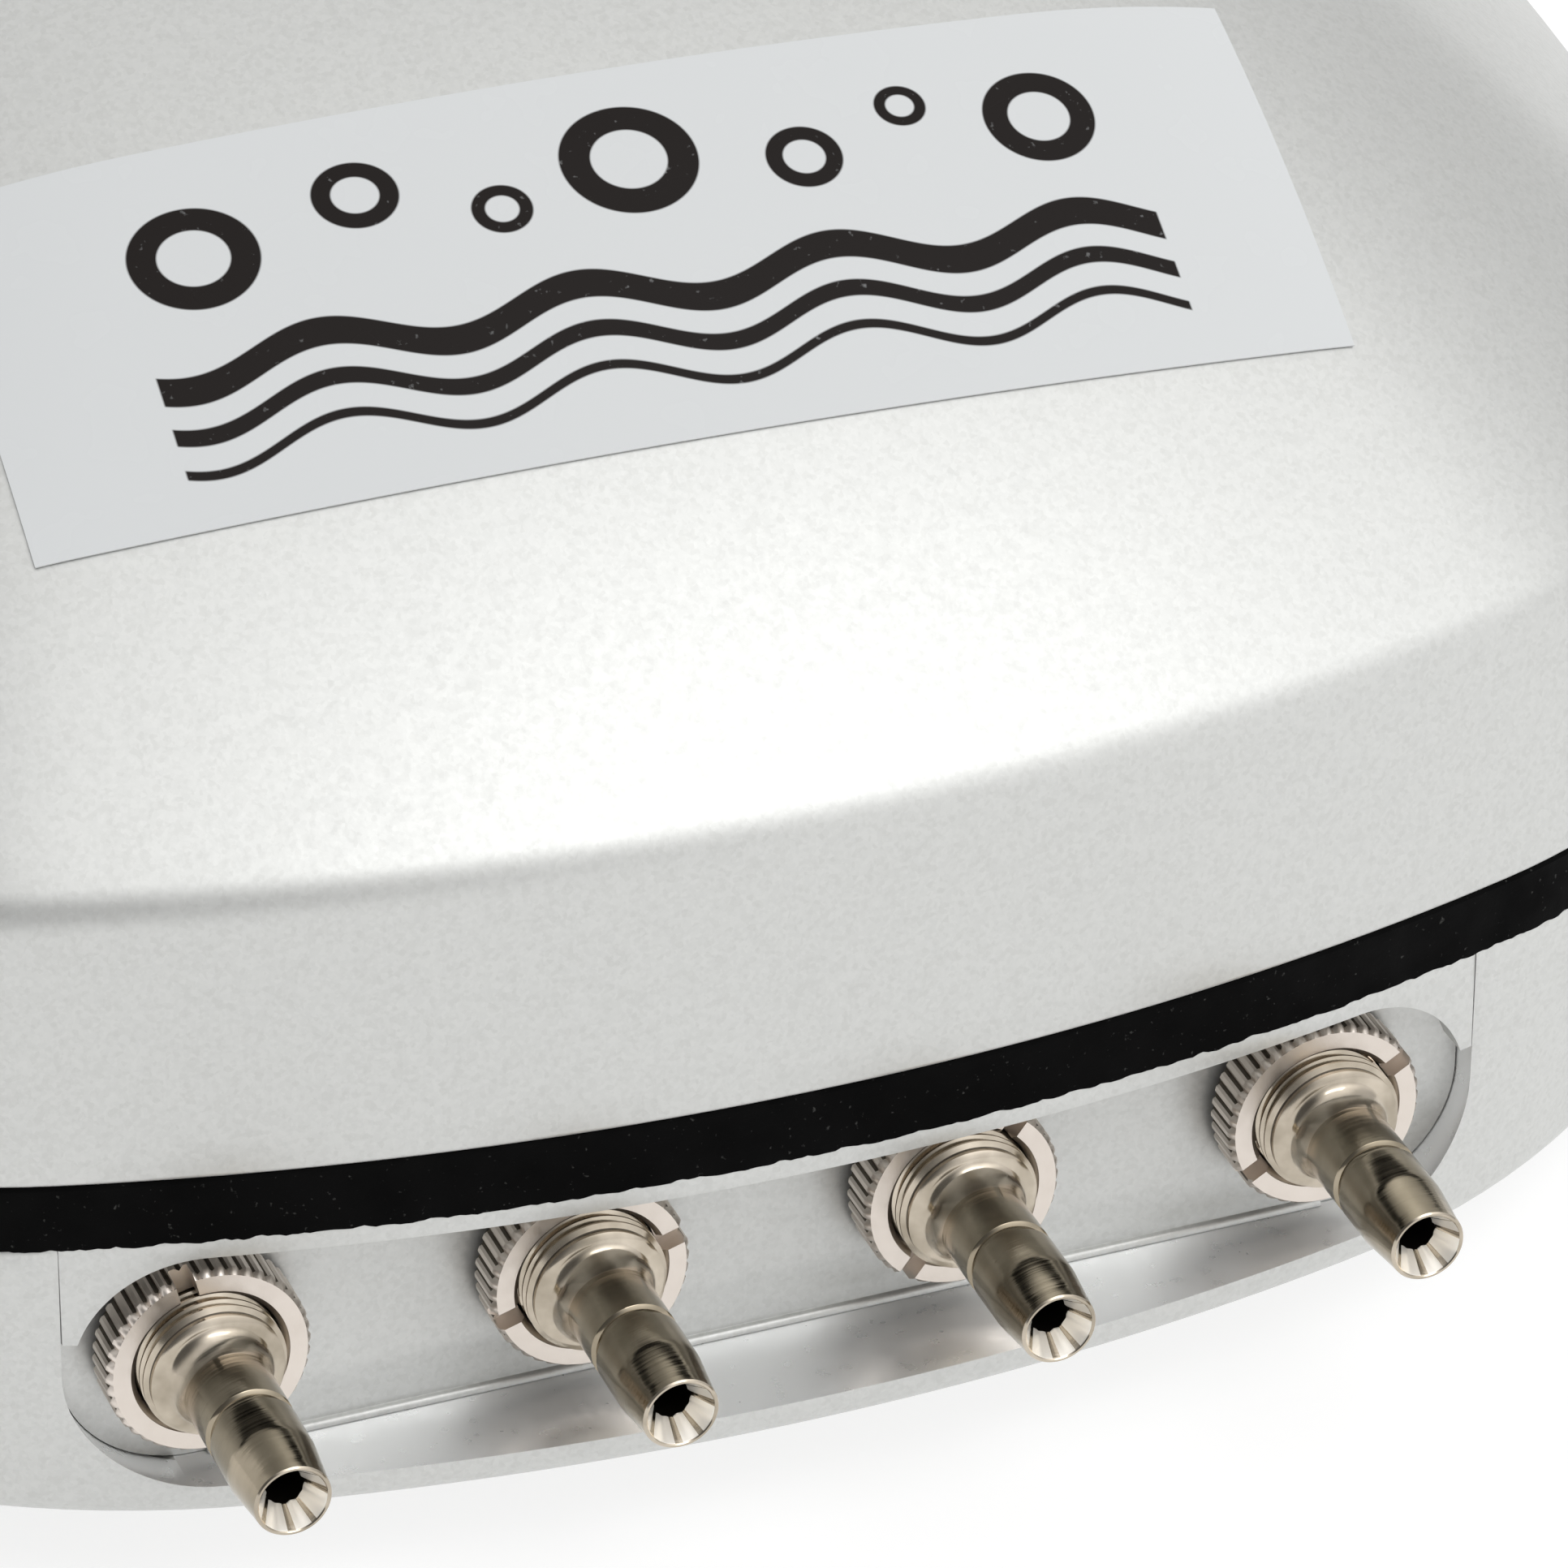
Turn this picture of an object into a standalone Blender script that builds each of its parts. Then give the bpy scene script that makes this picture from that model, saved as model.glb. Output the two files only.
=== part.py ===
"""Twin-diaphragm pond and aquarium air pump with four hose nozzles.

Frame: metres, +Z up, the nozzles point along -Y.
Origin: middle of the overall box in plan, on the surface that the rubber feet stand on.
"""
from math import atan2, cos, hypot, pi, radians, sin, sqrt

import bmesh
import bpy
from mathutils import Matrix, Vector

MM = 0.001
GAP = 0.3 * MM                       # clearance kept between pieces that touch

# ---- casing ---------------------------------------------------------------
CASING_WIDTH = 152 * MM
CASING_LENGTH = 190 * MM
FRONT_RADIUS = 151 * MM              # bow of the front and rear walls in plan
SIDE_RADIUS = 300 * MM
CORNER_RADIUS = 40 * MM
WALL = 2.5 * MM

BASE_Z = 6 * MM                      # underside of the lower casing
BASE_FLOOR_Z = 8.5 * MM
BASE_SIDE_TAPER = 2.5 * MM           # the lower casing narrows this much to its foot
BASE_CORNER_RADIUS = 47 * MM
BASE_EDGE_RADIUS = 2.0 * MM
BASE_EDGE_STEPS = 3
SEAL_BOTTOM_Z = 24.5 * MM
SEAL_TOP_Z = 28.4 * MM
CREASE_Z = 46 * MM                   # where the upright skirt turns into the dome
SKIRT_DRAFT = 0.7 * MM
CREASE_ROUND = 1.0 * MM
DOME_HEIGHT = 35 * MM
DOME_POWER = 2.45                    # height falls off as (share of the outline) ** power
DOME_SHARES = (0.95, 0.87, 0.77, 0.65, 0.5, 0.33, 0.15)
DOME_INNER_SHARES = (0.9, 0.72, 0.5, 0.25)
TOP_FRONT_RADIUS = 80 * MM           # radii that the dome's contour lines tend to at the top,
TOP_SIDE_RADIUS = 150 * MM           # as if the top were as wide as the whole casing
TOP_CORNER_RADIUS = 55 * MM

ARC_STEPS = {"front": 4, "corner": 5, "side": 2}

# ---- outlet panel and nozzles ---------------------------------------------
NOZZLE_ROW_X = -2.0 * MM             # the nozzle row sits a little left of the middle
PANEL_X = -1.1 * MM                  # and so does the panel that holds it
NOZZLE_PITCH = 21.8 * MM
NOZZLE_COUNT = 4
NOZZLE_Z = 16.5 * MM
NUT_FACE_Y = -90.8 * MM
NUT_THICKNESS = 3.0 * MM
NUT_RADIUS = 5.8 * MM
NUT_BORE_RADIUS = 4.4 * MM
NUT_SLOT_WIDTH = 1.1 * MM
NUT_SLOT_DEPTH = 1.3 * MM
NUT_SLOT_ANGLES = (103, 17, 53, 31)   # degrees, as each nut happens to be tightened
NUT_EDGE = 0.3 * MM
FLANGE_RADIUS = 6.0 * MM             # the nozzle's flange sits behind the panel
FLANGE_THICKNESS = 2.5 * MM
TAIL_LENGTH = 3.0 * MM               # behind the flange, into the manifold
THREAD_RADIUS = 4.0 * MM
BARREL_RADIUS = 2.5 * MM
TIP_RADIUS = 2.18 * MM
NOZZLE_BORE_RADIUS = 1.15 * MM
THREAD_REACH = 1.5 * MM              # the reaches are measured from the nut's face
SHOULDER_REACH = 3.4 * MM
GROOVE_REACH = 6.7 * MM
TAPER_REACH = 10.4 * MM
NOZZLE_REACH = 13.7 * MM
GROOVE_WIDTH = 0.7 * MM
GROOVE_DEPTH = 0.25 * MM
COUNTERSINK_DEPTH = 1.9 * MM

RECESS_FACE_Y = -87.5 * MM
RECESS_FLOOR_Z = 8.4 * MM
RECESS_TOP_Z = 23.3 * MM
PANEL_HALF_WIDTH = 41.0 * MM
PANEL_BACK_Y = -85.0 * MM
NOTCH_HALF_WIDTH = 41.3 * MM
NOTCH_CORNER_RADIUS = 7.6 * MM
SPANDREL_Z = 18.2 * MM               # the panel's top corners reach down to here

MANIFOLD_HALF_WIDTH = 38 * MM
MANIFOLD_FRONT_Y = -81.9 * MM
MANIFOLD_BACK_Y = -70.9 * MM
MANIFOLD_HALF_HEIGHT = 6 * MM
MANIFOLD_WALL = 2 * MM
MANIFOLD_PORT_X = 27 * MM
SPIGOT_RADIUS = 3.0 * MM
SPIGOT_BORE_RADIUS = 1.8 * MM
SPIGOT_LENGTH = 7 * MM
HOSE_RADIUS = 4.6 * MM

# ---- feet, screws and the inlet under the base -----------------------------
FOOT_X = 54 * MM
FOOT_Y = 52 * MM
FOOT_RADIUS = 8 * MM
FOOT_EDGE = MM
FOOT_STEM_RADIUS = 3 * MM
FOOT_STEM_TOP_Z = 10.5 * MM
POST_X = 53 * MM
POST_Y = 70 * MM
POST_RADIUS = 4.5 * MM
SCREW_RADIUS = 1.7 * MM
SCREW_HEAD_RADIUS = 3.5 * MM
SCREW_HEAD_THICKNESS = 2.4 * MM
SCREW_SINK_DEPTH = 3 * MM            # how deep the head's hole goes into the base
SCREW_TOP_Z = 40 * MM
FILTER_Y = -20 * MM
FILTER_RADIUS = 13 * MM
FILTER_THICKNESS = 3.4 * MM
FILTER_HOLE_RADIUS = 15 * MM
FILTER_COVER_Z = 3.7 * MM            # underside of the cap
FILTER_COVER_WALL = 1.4 * MM
FILTER_FLANGE = 2 * MM
FILTER_SLOT_PITCH = 4.4 * MM
FILTER_SLOT_WIDTH = 2 * MM
FILTER_SLOT_HALF_LENGTH = 10 * MM    # of the middle slot; the outer ones are shorter
GLAND_Z = 15.5 * MM
GLAND_RADIUS = 5.5 * MM
GLAND_BORE_RADIUS = 3.3 * MM
GLAND_FLANGE_RADIUS = 8 * MM
GLAND_NECK_RADIUS = 6.6 * MM
GLAND_FLANGE_THICKNESS = 3 * MM
GLAND_START_Y = 86 * MM
GLAND_END_Y = 104.5 * MM
GLAND_END_RADIUS = 5.2 * MM
TERMINAL_HALF_WIDTH = 11 * MM
TERMINAL_Y = (76.5 * MM, 84 * MM)
TERMINAL_Z = (8.8 * MM, 20 * MM)
TERMINAL_HALF_PITCH = 5.5 * MM

# ---- pump works -------------------------------------------------------------
WORKS_Z = 37 * MM                    # mid height of magnet, arms and valve boxes
FRAME_Z = (12 * MM, 15 * MM)
ARM_X = 20 * MM
PIVOT_Y = -38 * MM
DIAPHRAGM_Y = -2 * MM
ARM_END_Y = 31 * MM
ARM_THICKNESS = 3 * MM
ARM_HALF_HEIGHT = 5 * MM
BOSS_RADIUS = 7.5 * MM               # round the stud's hole
STUD_HOLE_RADIUS = 1.8 * MM
MAGNET_THICKNESS = 7.7 * MM
MAGNET_LENGTH = 9 * MM
MAGNET_HALF_HEIGHT = 7 * MM
EYE_RADIUS = 5.5 * MM
EYE_HALF_HEIGHT = 7 * MM
BUSH_RADIUS = 3.2 * MM
PIN_RADIUS = 1.5 * MM
PIN_HEAD_RADIUS = 3 * MM
PIN_HEAD_THICKNESS = 1.5 * MM
CORE_FRONT_Y = 33.5 * MM
CORE_BACK_Y = 71 * MM
CORE_YOKE_Y = 62 * MM
CORE_HALF_STACK = 9 * MM
CORE_POLE_HALF = 6.5 * MM
CORE_WINDOW_X = 18 * MM
CORE_HALF_WIDTH = 26 * MM
BOBBIN_CLEARANCE = 0.4 * MM
BOBBIN_WALL = 1.2 * MM
BOBBIN_END_ROOM = 2.5 * MM           # from the core's front and yoke to the bobbin
CHEEK_SIDE_ROOM = 0.6 * MM
CHEEK_RISE = 10.5 * MM               # above and below the core's stack
CLAMP_THICKNESS = 1.5 * MM
CLAMP_WIDTH = 7 * MM
CLAMP_TOE = 7 * MM
CLAMP_CLEARANCE = 0.6 * MM
CLAMP_SCREW_RADIUS = 1.5 * MM
CLAMP_SCREW_X = CORE_HALF_WIDTH + CLAMP_CLEARANCE + CLAMP_THICKNESS + CLAMP_TOE / 2
CLAMP_SCREW_Y = CORE_YOKE_Y + MM + CLAMP_WIDTH / 2
BOX_INNER_X = 32 * MM
BOX_OUTER_X = 52 * MM
BOX_HALF_LENGTH = 16 * MM
BOX_WALL = 2.5 * MM
BOX_HALF_PARTITION = 1.5 * MM
BOX_COVER_THICKNESS = 2 * MM
CHAMBER_RADIUS = 13 * MM
DIVIDER_X = (40 * MM, 42 * MM)
VALVE_OFFSET_Y = 5.5 * MM            # inlet valve behind, outlet valve in front
PORT_RADIUS = 2.5 * MM
FLAP_HALF_WIDTH = 3.6 * MM
FLAP_THICKNESS = 0.8 * MM
FLAP_TOP_Z = WORKS_Z + 5.5 * MM
FLAP_BOTTOM_Z = WORKS_Z - 5.5 * MM
GROMMET_SPOTS = ((40 * MM, -38 * MM), (40 * MM, 55 * MM))
GROMMET_RADIUS = 5 * MM
GROMMET_NECK_RADIUS = 3 * MM
GROMMET_CAP_RADIUS = 4.2 * MM
PLATE_HALF_WIDTH = 56 * MM           # the frame's plate, with a narrower rear part
PLATE_Y = (-46 * MM, 60 * MM)
REAR_HALF_WIDTH = 38 * MM
REAR_END_Y = 75 * MM
CORE_SEAT_Y = (40 * MM, 70 * MM)
PIVOT_POST_RADIUS = 4.5 * MM

# ---- front label -------------------------------------------------------------
LABEL_WIDTH = 75.5 * MM
LABEL_HEIGHT = 25.5 * MM
LABEL_X = 0.25 * MM
LABEL_LOWER_Y = -76.9 * MM           # middle of the label's lower edge
LABEL_TURN = radians(-1.1)
LABEL_BEND = 2.3 * MM                # its ends lie this much further back than its middle
LABEL_PLAN_SHARE = 0.82              # share of the label's height seen in plan
LABEL_THICKNESS = 0.3 * MM
LABEL_STEPS = (10, 4)


# ---- materials ----------------------------------------------------------------
def material(name, colour, roughness, metallic=0.0):
    """Principled material shared by every piece of one kind."""
    found = bpy.data.materials.get(name)
    if found:
        return found
    made = bpy.data.materials.new(name)
    made.use_nodes = True
    shader = made.node_tree.nodes["Principled BSDF"]
    shader.inputs["Base Color"].default_value = (*colour, 1.0)
    shader.inputs["Roughness"].default_value = roughness
    shader.inputs["Metallic"].default_value = metallic
    return made


def silver_paint():
    return material("silver_paint", (0.60, 0.60, 0.58), 0.35, 0.6)


def black_rubber():
    return material("black_rubber", (0.012, 0.012, 0.012), 0.75)


def nickel():
    return material("nickel_plate", (0.62, 0.56, 0.48), 0.22, 1.0)


def steel():
    return material("steel", (0.55, 0.55, 0.56), 0.3, 1.0)


def grey_plastic():
    return material("grey_plastic", (0.16, 0.17, 0.18), 0.5)


def copper():
    return material("copper_winding", (0.45, 0.17, 0.08), 0.35, 0.8)


def ferrite():
    return material("ferrite", (0.05, 0.05, 0.055), 0.6)


def felt():
    return material("white_felt", (0.75, 0.75, 0.72), 0.95)


def label_film():
    return material("label_film", (0.80, 0.81, 0.82), 0.3)


# ---- mesh helpers ---------------------------------------------------------------
def add_object(name, mesh, finish):
    """Link a new object with outward faces, smooth on its round stretches."""
    work = bmesh.new()
    work.from_mesh(mesh)
    bmesh.ops.recalc_face_normals(work, faces=work.faces)
    work.to_mesh(mesh)
    work.free()
    mesh.materials.clear()
    mesh.materials.append(finish)
    mesh.shade_smooth()
    mesh.set_sharp_from_angle(angle=radians(35))
    made = bpy.data.objects.new(name, mesh)
    bpy.context.scene.collection.objects.link(made)
    return made


def loft(name, rings, finish):
    """Closed skin through rings of equal point count, with both ends capped."""
    count = len(rings[0])
    points = [point for ring in rings for point in ring]
    faces = [tuple(range(count)), tuple(range(len(points) - count, len(points)))]
    for low in range(0, len(points) - count, count):
        for i in range(count):
            j = (i + 1) % count
            faces.append((low + i, low + j, low + count + j, low + count + i))
    mesh = bpy.data.meshes.new(name)
    mesh.from_pydata(points, [], faces)
    return add_object(name, mesh, finish)


def prism(name, outline, low, high, finish, axis="Z"):
    """Outline extruded along an axis; its points are in the other two, in X, Y, Z order."""
    place = {
        "X": lambda p, h: (h, p[0], p[1]),
        "Y": lambda p, h: (p[0], h, p[1]),
        "Z": lambda p, h: (p[0], p[1], h),
    }[axis]
    return loft(name, [[place(p, h) for p in outline] for h in (low, high)], finish)


def box(name, low, high, finish):
    """Block between two corners."""
    outline = [(low[0], low[1]), (high[0], low[1]), (high[0], high[1]), (low[0], high[1])]
    return prism(name, outline, low[2], high[2], finish)


def turned(name, profile, finish, origin, axis, segments=20):
    """Solid of revolution. Profile is a closed loop of (radius, distance along axis)."""
    direction = Vector(axis)
    turn = Vector((0, 0, 1)).rotation_difference(direction).to_matrix()
    points = []
    rows = []
    for radius, along in profile:
        if radius < 1e-9:
            rows.append([len(points)])
            points.append(Vector((0, 0, along)))
            continue
        rows.append(list(range(len(points), len(points) + segments)))
        for i in range(segments):
            angle = 2 * pi * i / segments
            points.append(Vector((radius * cos(angle), radius * sin(angle), along)))
    faces = []
    for index, row in enumerate(rows):
        other = rows[(index + 1) % len(rows)]
        if len(row) == 1 and len(other) == 1:
            continue
        for i in range(segments):
            j = (i + 1) % segments
            if len(row) == 1:
                faces.append((row[0], other[j], other[i]))
            elif len(other) == 1:
                faces.append((row[i], row[j], other[0]))
            else:
                faces.append((row[i], row[j], other[j], other[i]))
    mesh = bpy.data.meshes.new(name)
    mesh.from_pydata([Vector(origin) + turn @ p for p in points], [], faces)
    return add_object(name, mesh, finish)


def rod(name, radius, low, high, finish, origin, axis, segments=20):
    """Plain solid cylinder between two distances along an axis."""
    profile = [(0, low), (radius, low), (radius, high), (0, high)]
    return turned(name, profile, finish, origin, axis, segments)


def combine(target, tool, operation):
    """Cut the tool from the target, or fuse it on, and drop the tool."""
    change = target.modifiers.new(operation.lower(), "BOOLEAN")
    change.operation = operation
    change.object = tool
    change.solver = "EXACT"
    bpy.context.view_layer.update()
    evaluated = target.evaluated_get(bpy.context.evaluated_depsgraph_get())
    mesh = bpy.data.meshes.new_from_object(evaluated)
    target.modifiers.clear()
    mesh.name = target.name
    mesh.set_sharp_from_angle(angle=radians(35))
    target.data = mesh
    bpy.data.objects.remove(tool)


def cut(target, tool):
    combine(target, tool, "DIFFERENCE")


def fuse(target, tool):
    combine(target, tool, "UNION")


def drill(target, radius, low, high, origin, axis, segments=20):
    """Round hole through the target between two distances along an axis."""
    cut(target, rod("drill", radius, low, high, target.data.materials[0], origin, axis, segments))


def move_origin(made, place):
    """Put an object's origin at a point without moving its shape."""
    made.data.transform(Matrix.Translation(-Vector(place)))
    made.location = place


def swept(name, route, outer, inner, finish, segments=10):
    """Open-ended hose along a route of points."""
    rings = {outer: [], inner: []}
    for index, here in enumerate(route):
        before = route[max(index - 1, 0)]
        after = route[min(index + 1, len(route) - 1)]
        forward = (after - before).normalized()
        across = forward.cross(Vector((0, 0, 1))).normalized()
        upward = across.cross(forward)
        for radius, ring in rings.items():
            turns = [2 * pi * i / segments for i in range(segments)]
            ring.append([here + radius * (cos(a) * across + sin(a) * upward) for a in turns])
    loop = rings[outer] + rings[inner][::-1]
    points = [point for ring in loop for point in ring]
    faces = []
    for low in range(len(loop)):
        high = (low + 1) % len(loop)
        for i in range(segments):
            j = (i + 1) % segments
            a, b = low * segments, high * segments
            faces.append((a + i, a + j, b + j, b + i))
    mesh = bpy.data.meshes.new(name)
    mesh.from_pydata(points, [], faces)
    return add_object(name, mesh, finish)


# ---- casing outline ----------------------------------------------------------------
class Outline:
    """Plan outline of tangent arcs: bowed ends, bowed sides and round corners."""

    def __init__(self, half_width, half_length, front_radius, side_radius, corner_radius):
        self.half_width = half_width
        self.front_radius = front_radius
        self.side_radius = side_radius
        self.corner_radius = corner_radius
        self.front_centre = Vector((0, front_radius - half_length))
        self.side_centre = Vector((half_width - side_radius, 0))
        self.corner_centre = self.find_corner()

    def find_corner(self):
        """Centre of the arc that touches the front arc and the right side arc."""
        near_front = self.front_radius - self.corner_radius
        near_side = self.side_radius - self.corner_radius
        between = self.side_centre - self.front_centre
        span = between.length
        along = (near_front**2 - near_side**2 + span**2) / (2 * span)
        rise = sqrt(near_front**2 - along**2)
        step = between / span
        foot = self.front_centre + along * step
        found = [foot + rise * Vector((-step.y, step.x)), foot - rise * Vector((-step.y, step.x))]
        return min(found, key=lambda point: point.y)

    def arcs(self):
        """Centre, radius and start and end angle of each arc, from front to side."""
        to_corner = self.corner_centre - self.front_centre
        front_end = abs(Vector((0, -1)).angle_signed(to_corner))
        from_side = self.corner_centre - self.side_centre
        corner_end = pi / 2 - abs(Vector((1, 0)).angle_signed(from_side))
        return {
            "front": (self.front_centre, self.front_radius, 0.0, front_end),
            "corner": (self.corner_centre, self.corner_radius, front_end, corner_end),
            "side": (self.side_centre, self.side_radius, corner_end, pi / 2),
        }

    def quadrant(self):
        """Points from the middle of the front to just before the middle of the right side."""
        points = []
        for word, (centre, radius, start, end) in self.arcs().items():
            steps = ARC_STEPS[word]
            for i in range(steps):
                angle = start + (end - start) * i / steps
                points.append(centre + radius * Vector((sin(angle), -cos(angle))))
        return points

    def ring(self, z):
        """Whole outline at one height, anticlockwise."""
        right_front = self.quadrant()
        middle = Vector((self.half_width, 0))
        right_back = [Vector((p.x, -p.y)) for p in right_front[::-1]]
        right = right_front + [middle] + right_back
        left = [Vector((-p.x, p.y)) for p in right[-2:0:-1]]
        return [(p.x, p.y, z) for p in right + left]

    def reach(self, x, y):
        """Distance from the middle to the outline in the direction of a point."""
        size = hypot(x, y)
        way = Vector((abs(x) / size, -abs(y) / size))
        for centre, radius, start, end in self.arcs().values():
            along = way.dot(centre)
            inside = along**2 - centre.length_squared + radius**2
            if inside < 0:
                continue
            hit = along + sqrt(inside)
            turn = way * hit - centre
            angle = atan2(turn.x, -turn.y)
            if start - 1e-6 <= angle <= end + 1e-6:
                return hit
        raise ValueError("no arc of the outline lies that way")


def casing_outline(inset=0.0):
    """Outline of the casing's wall, set in by some distance."""
    return Outline(
        CASING_WIDTH / 2 - inset,
        CASING_LENGTH / 2 - inset,
        FRONT_RADIUS - inset,
        SIDE_RADIUS - inset,
        CORNER_RADIUS - inset,
    )


def base_outline(inset=0.0):
    """Outline at the foot of the lower casing, narrower at the sides and rounder."""
    return Outline(
        CASING_WIDTH / 2 - BASE_SIDE_TAPER - inset,
        CASING_LENGTH / 2 - inset,
        FRONT_RADIUS - inset,
        SIDE_RADIUS - inset,
        BASE_CORNER_RADIUS - inset,
    )


def dome_outline(share, inset=SKIRT_DRAFT + CREASE_ROUND):
    """Contour line of the dome, rounder towards the top; share is 1 at the crease."""
    near = 1 - (1 - share) ** 2

    def mixed(top, foot):
        return share * (top + (foot - top) * near - inset)

    return Outline(
        share * (CASING_WIDTH / 2 - inset),
        share * (CASING_LENGTH / 2 - inset),
        mixed(TOP_FRONT_RADIUS, FRONT_RADIUS),
        mixed(TOP_SIDE_RADIUS, SIDE_RADIUS),
        mixed(TOP_CORNER_RADIUS, CORNER_RADIUS),
    )


def dome_height(share):
    """Height of the dome's contour line above the crease."""
    return DOME_HEIGHT * (1 - share**DOME_POWER)


def dome_z(x, y):
    """Height of the dome's outside at a point in plan."""
    low, high = 0.01, 1.0
    for _ in range(30):
        middle = (low + high) / 2
        if hypot(x, y) > dome_outline(middle).reach(x, y):
            low = middle
        else:
            high = middle
    return CREASE_Z + dome_height(high)


def dome_normal(x, y):
    """Outward normal of the dome at a point in plan."""
    step = 0.2 * MM
    slope_x = (dome_z(x + step, y) - dome_z(x - step, y)) / (2 * step)
    slope_y = (dome_z(x, y + step) - dome_z(x, y - step)) / (2 * step)
    return Vector((-slope_x, -slope_y, 1)).normalized()


# ---- casing pieces --------------------------------------------------------------------
def upper_casing():
    """Domed cover shell with four screw posts."""
    outside = [dome_outline(s).ring(CREASE_Z + dome_height(s)) for s in DOME_SHARES[::-1]]
    outside.append(dome_outline(1).ring(CREASE_Z))
    middle = casing_outline(SKIRT_DRAFT + 0.3 * CREASE_ROUND)
    outside.append(middle.ring(CREASE_Z - 0.3 * CREASE_ROUND))
    outside.append(casing_outline(SKIRT_DRAFT).ring(CREASE_Z - CREASE_ROUND))
    outside.append(casing_outline().ring(SEAL_TOP_Z))
    inside = [
        casing_outline(WALL).ring(SEAL_TOP_Z),
        casing_outline(SKIRT_DRAFT + WALL).ring(CREASE_Z - WALL),
    ]
    for share in DOME_INNER_SHARES:
        inner = dome_outline(share, SKIRT_DRAFT + CREASE_ROUND + WALL)
        inside.append(inner.ring(CREASE_Z - WALL + dome_height(share)))
    shell = loft("upper_casing", outside + inside, silver_paint())
    for x, y in corners(POST_X, POST_Y):
        lean = 1 + POST_RADIUS / hypot(x, y)
        top = dome_z(lean * x, lean * y) - 0.4 * WALL
        fuse(shell, rod("post", POST_RADIUS, SEAL_TOP_Z, top, silver_paint(), (x, y, 0), (0, 0, 1), 12))
        bottom = SEAL_TOP_Z - MM
        drill(shell, SCREW_RADIUS + GAP, bottom, SCREW_TOP_Z + MM, (x, y, 0), (0, 0, 1), 12)
    return shell


def corners(x, y):
    """The four places at plus and minus x and y."""
    return [(side * x, end * y) for end in (-1, 1) for side in (-1, 1)]


def notch_outline(half_width, floor, radius, top, steps=6):
    """U shape with round lower corners, centred on the outlet panel."""
    points = [(PANEL_X + half_width, top), (PANEL_X - half_width, top)]
    for side in (-1, 1):
        centre = (PANEL_X + side * (half_width - radius), floor + radius)
        for i in range(steps + 1):
            angle = pi / 2 * i / steps
            turn = (-cos(angle), -sin(angle)) if side < 0 else (sin(angle), -cos(angle))
            points.append((centre[0] + radius * turn[0], centre[1] + radius * turn[1]))
    return points


def lower_casing():
    """Shallow tray with a notch for the outlet panel, screw posts and openings."""
    rings = []
    for step in range(BASE_EDGE_STEPS + 1):
        angle = pi / 2 * step / BASE_EDGE_STEPS
        inset = BASE_EDGE_RADIUS * (1 - sin(angle))
        height = BASE_Z + BASE_EDGE_RADIUS * (1 - cos(angle))
        rings.append(base_outline(inset).ring(height))
    rings.append(casing_outline().ring(SEAL_BOTTOM_Z))
    rings.append(casing_outline(WALL).ring(SEAL_BOTTOM_Z))
    rings.append(base_outline(WALL).ring(BASE_FLOOR_Z))
    tray = loft("lower_casing", rings, silver_paint())
    notch = notch_outline(NOTCH_HALF_WIDTH, RECESS_FLOOR_Z, NOTCH_CORNER_RADIUS, SEAL_TOP_Z)
    cut(tray, prism("notch", notch, -100 * MM, PANEL_BACK_Y, silver_paint(), "Y"))
    for x, y in corners(POST_X, POST_Y):
        spot = (x, y, 0)
        post = rod("post", POST_RADIUS, BASE_Z + MM, SEAL_BOTTOM_Z, silver_paint(), spot, (0, 0, 1), 12)
        fuse(tray, post)
        drill(tray, SCREW_RADIUS + GAP, 0, SEAL_TOP_Z, spot, (0, 0, 1), 12)
        drill(tray, SCREW_HEAD_RADIUS + GAP, 0, BASE_Z + SCREW_SINK_DEPTH, spot, (0, 0, 1), 16)
    for x, y in corners(FOOT_X, FOOT_Y):
        drill(tray, FOOT_STEM_RADIUS + GAP, 0, BASE_FLOOR_Z + MM, (x, y, 0), (0, 0, 1), 12)
    drill(tray, FILTER_HOLE_RADIUS, 0, BASE_FLOOR_Z + MM, (0, FILTER_Y, 0), (0, 0, 1), 24)
    rear = CASING_LENGTH / 2
    drill(tray, GLAND_RADIUS + GAP, rear - 4 * WALL, rear + WALL, (0, 0, GLAND_Z), (0, 1, 0), 20)
    return tray


def casing_gasket():
    """Rubber seal that follows the joint between the casings."""
    low = SEAL_BOTTOM_Z + GAP
    high = SEAL_TOP_Z - GAP
    inner = casing_outline(WALL + MM)
    rings = [inner.ring(low), casing_outline().ring(low), casing_outline().ring(high), inner.ring(high)]
    count = len(rings[0])
    points = [point for ring in rings for point in ring]
    faces = []
    for row in range(4):
        a, b = row * count, (row + 1) % 4 * count
        for i in range(count):
            j = (i + 1) % count
            faces.append((a + i, a + j, b + j, b + i))
    mesh = bpy.data.meshes.new("casing_gasket")
    mesh.from_pydata(points, [], faces)
    return add_object("casing_gasket", mesh, black_rubber())


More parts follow.
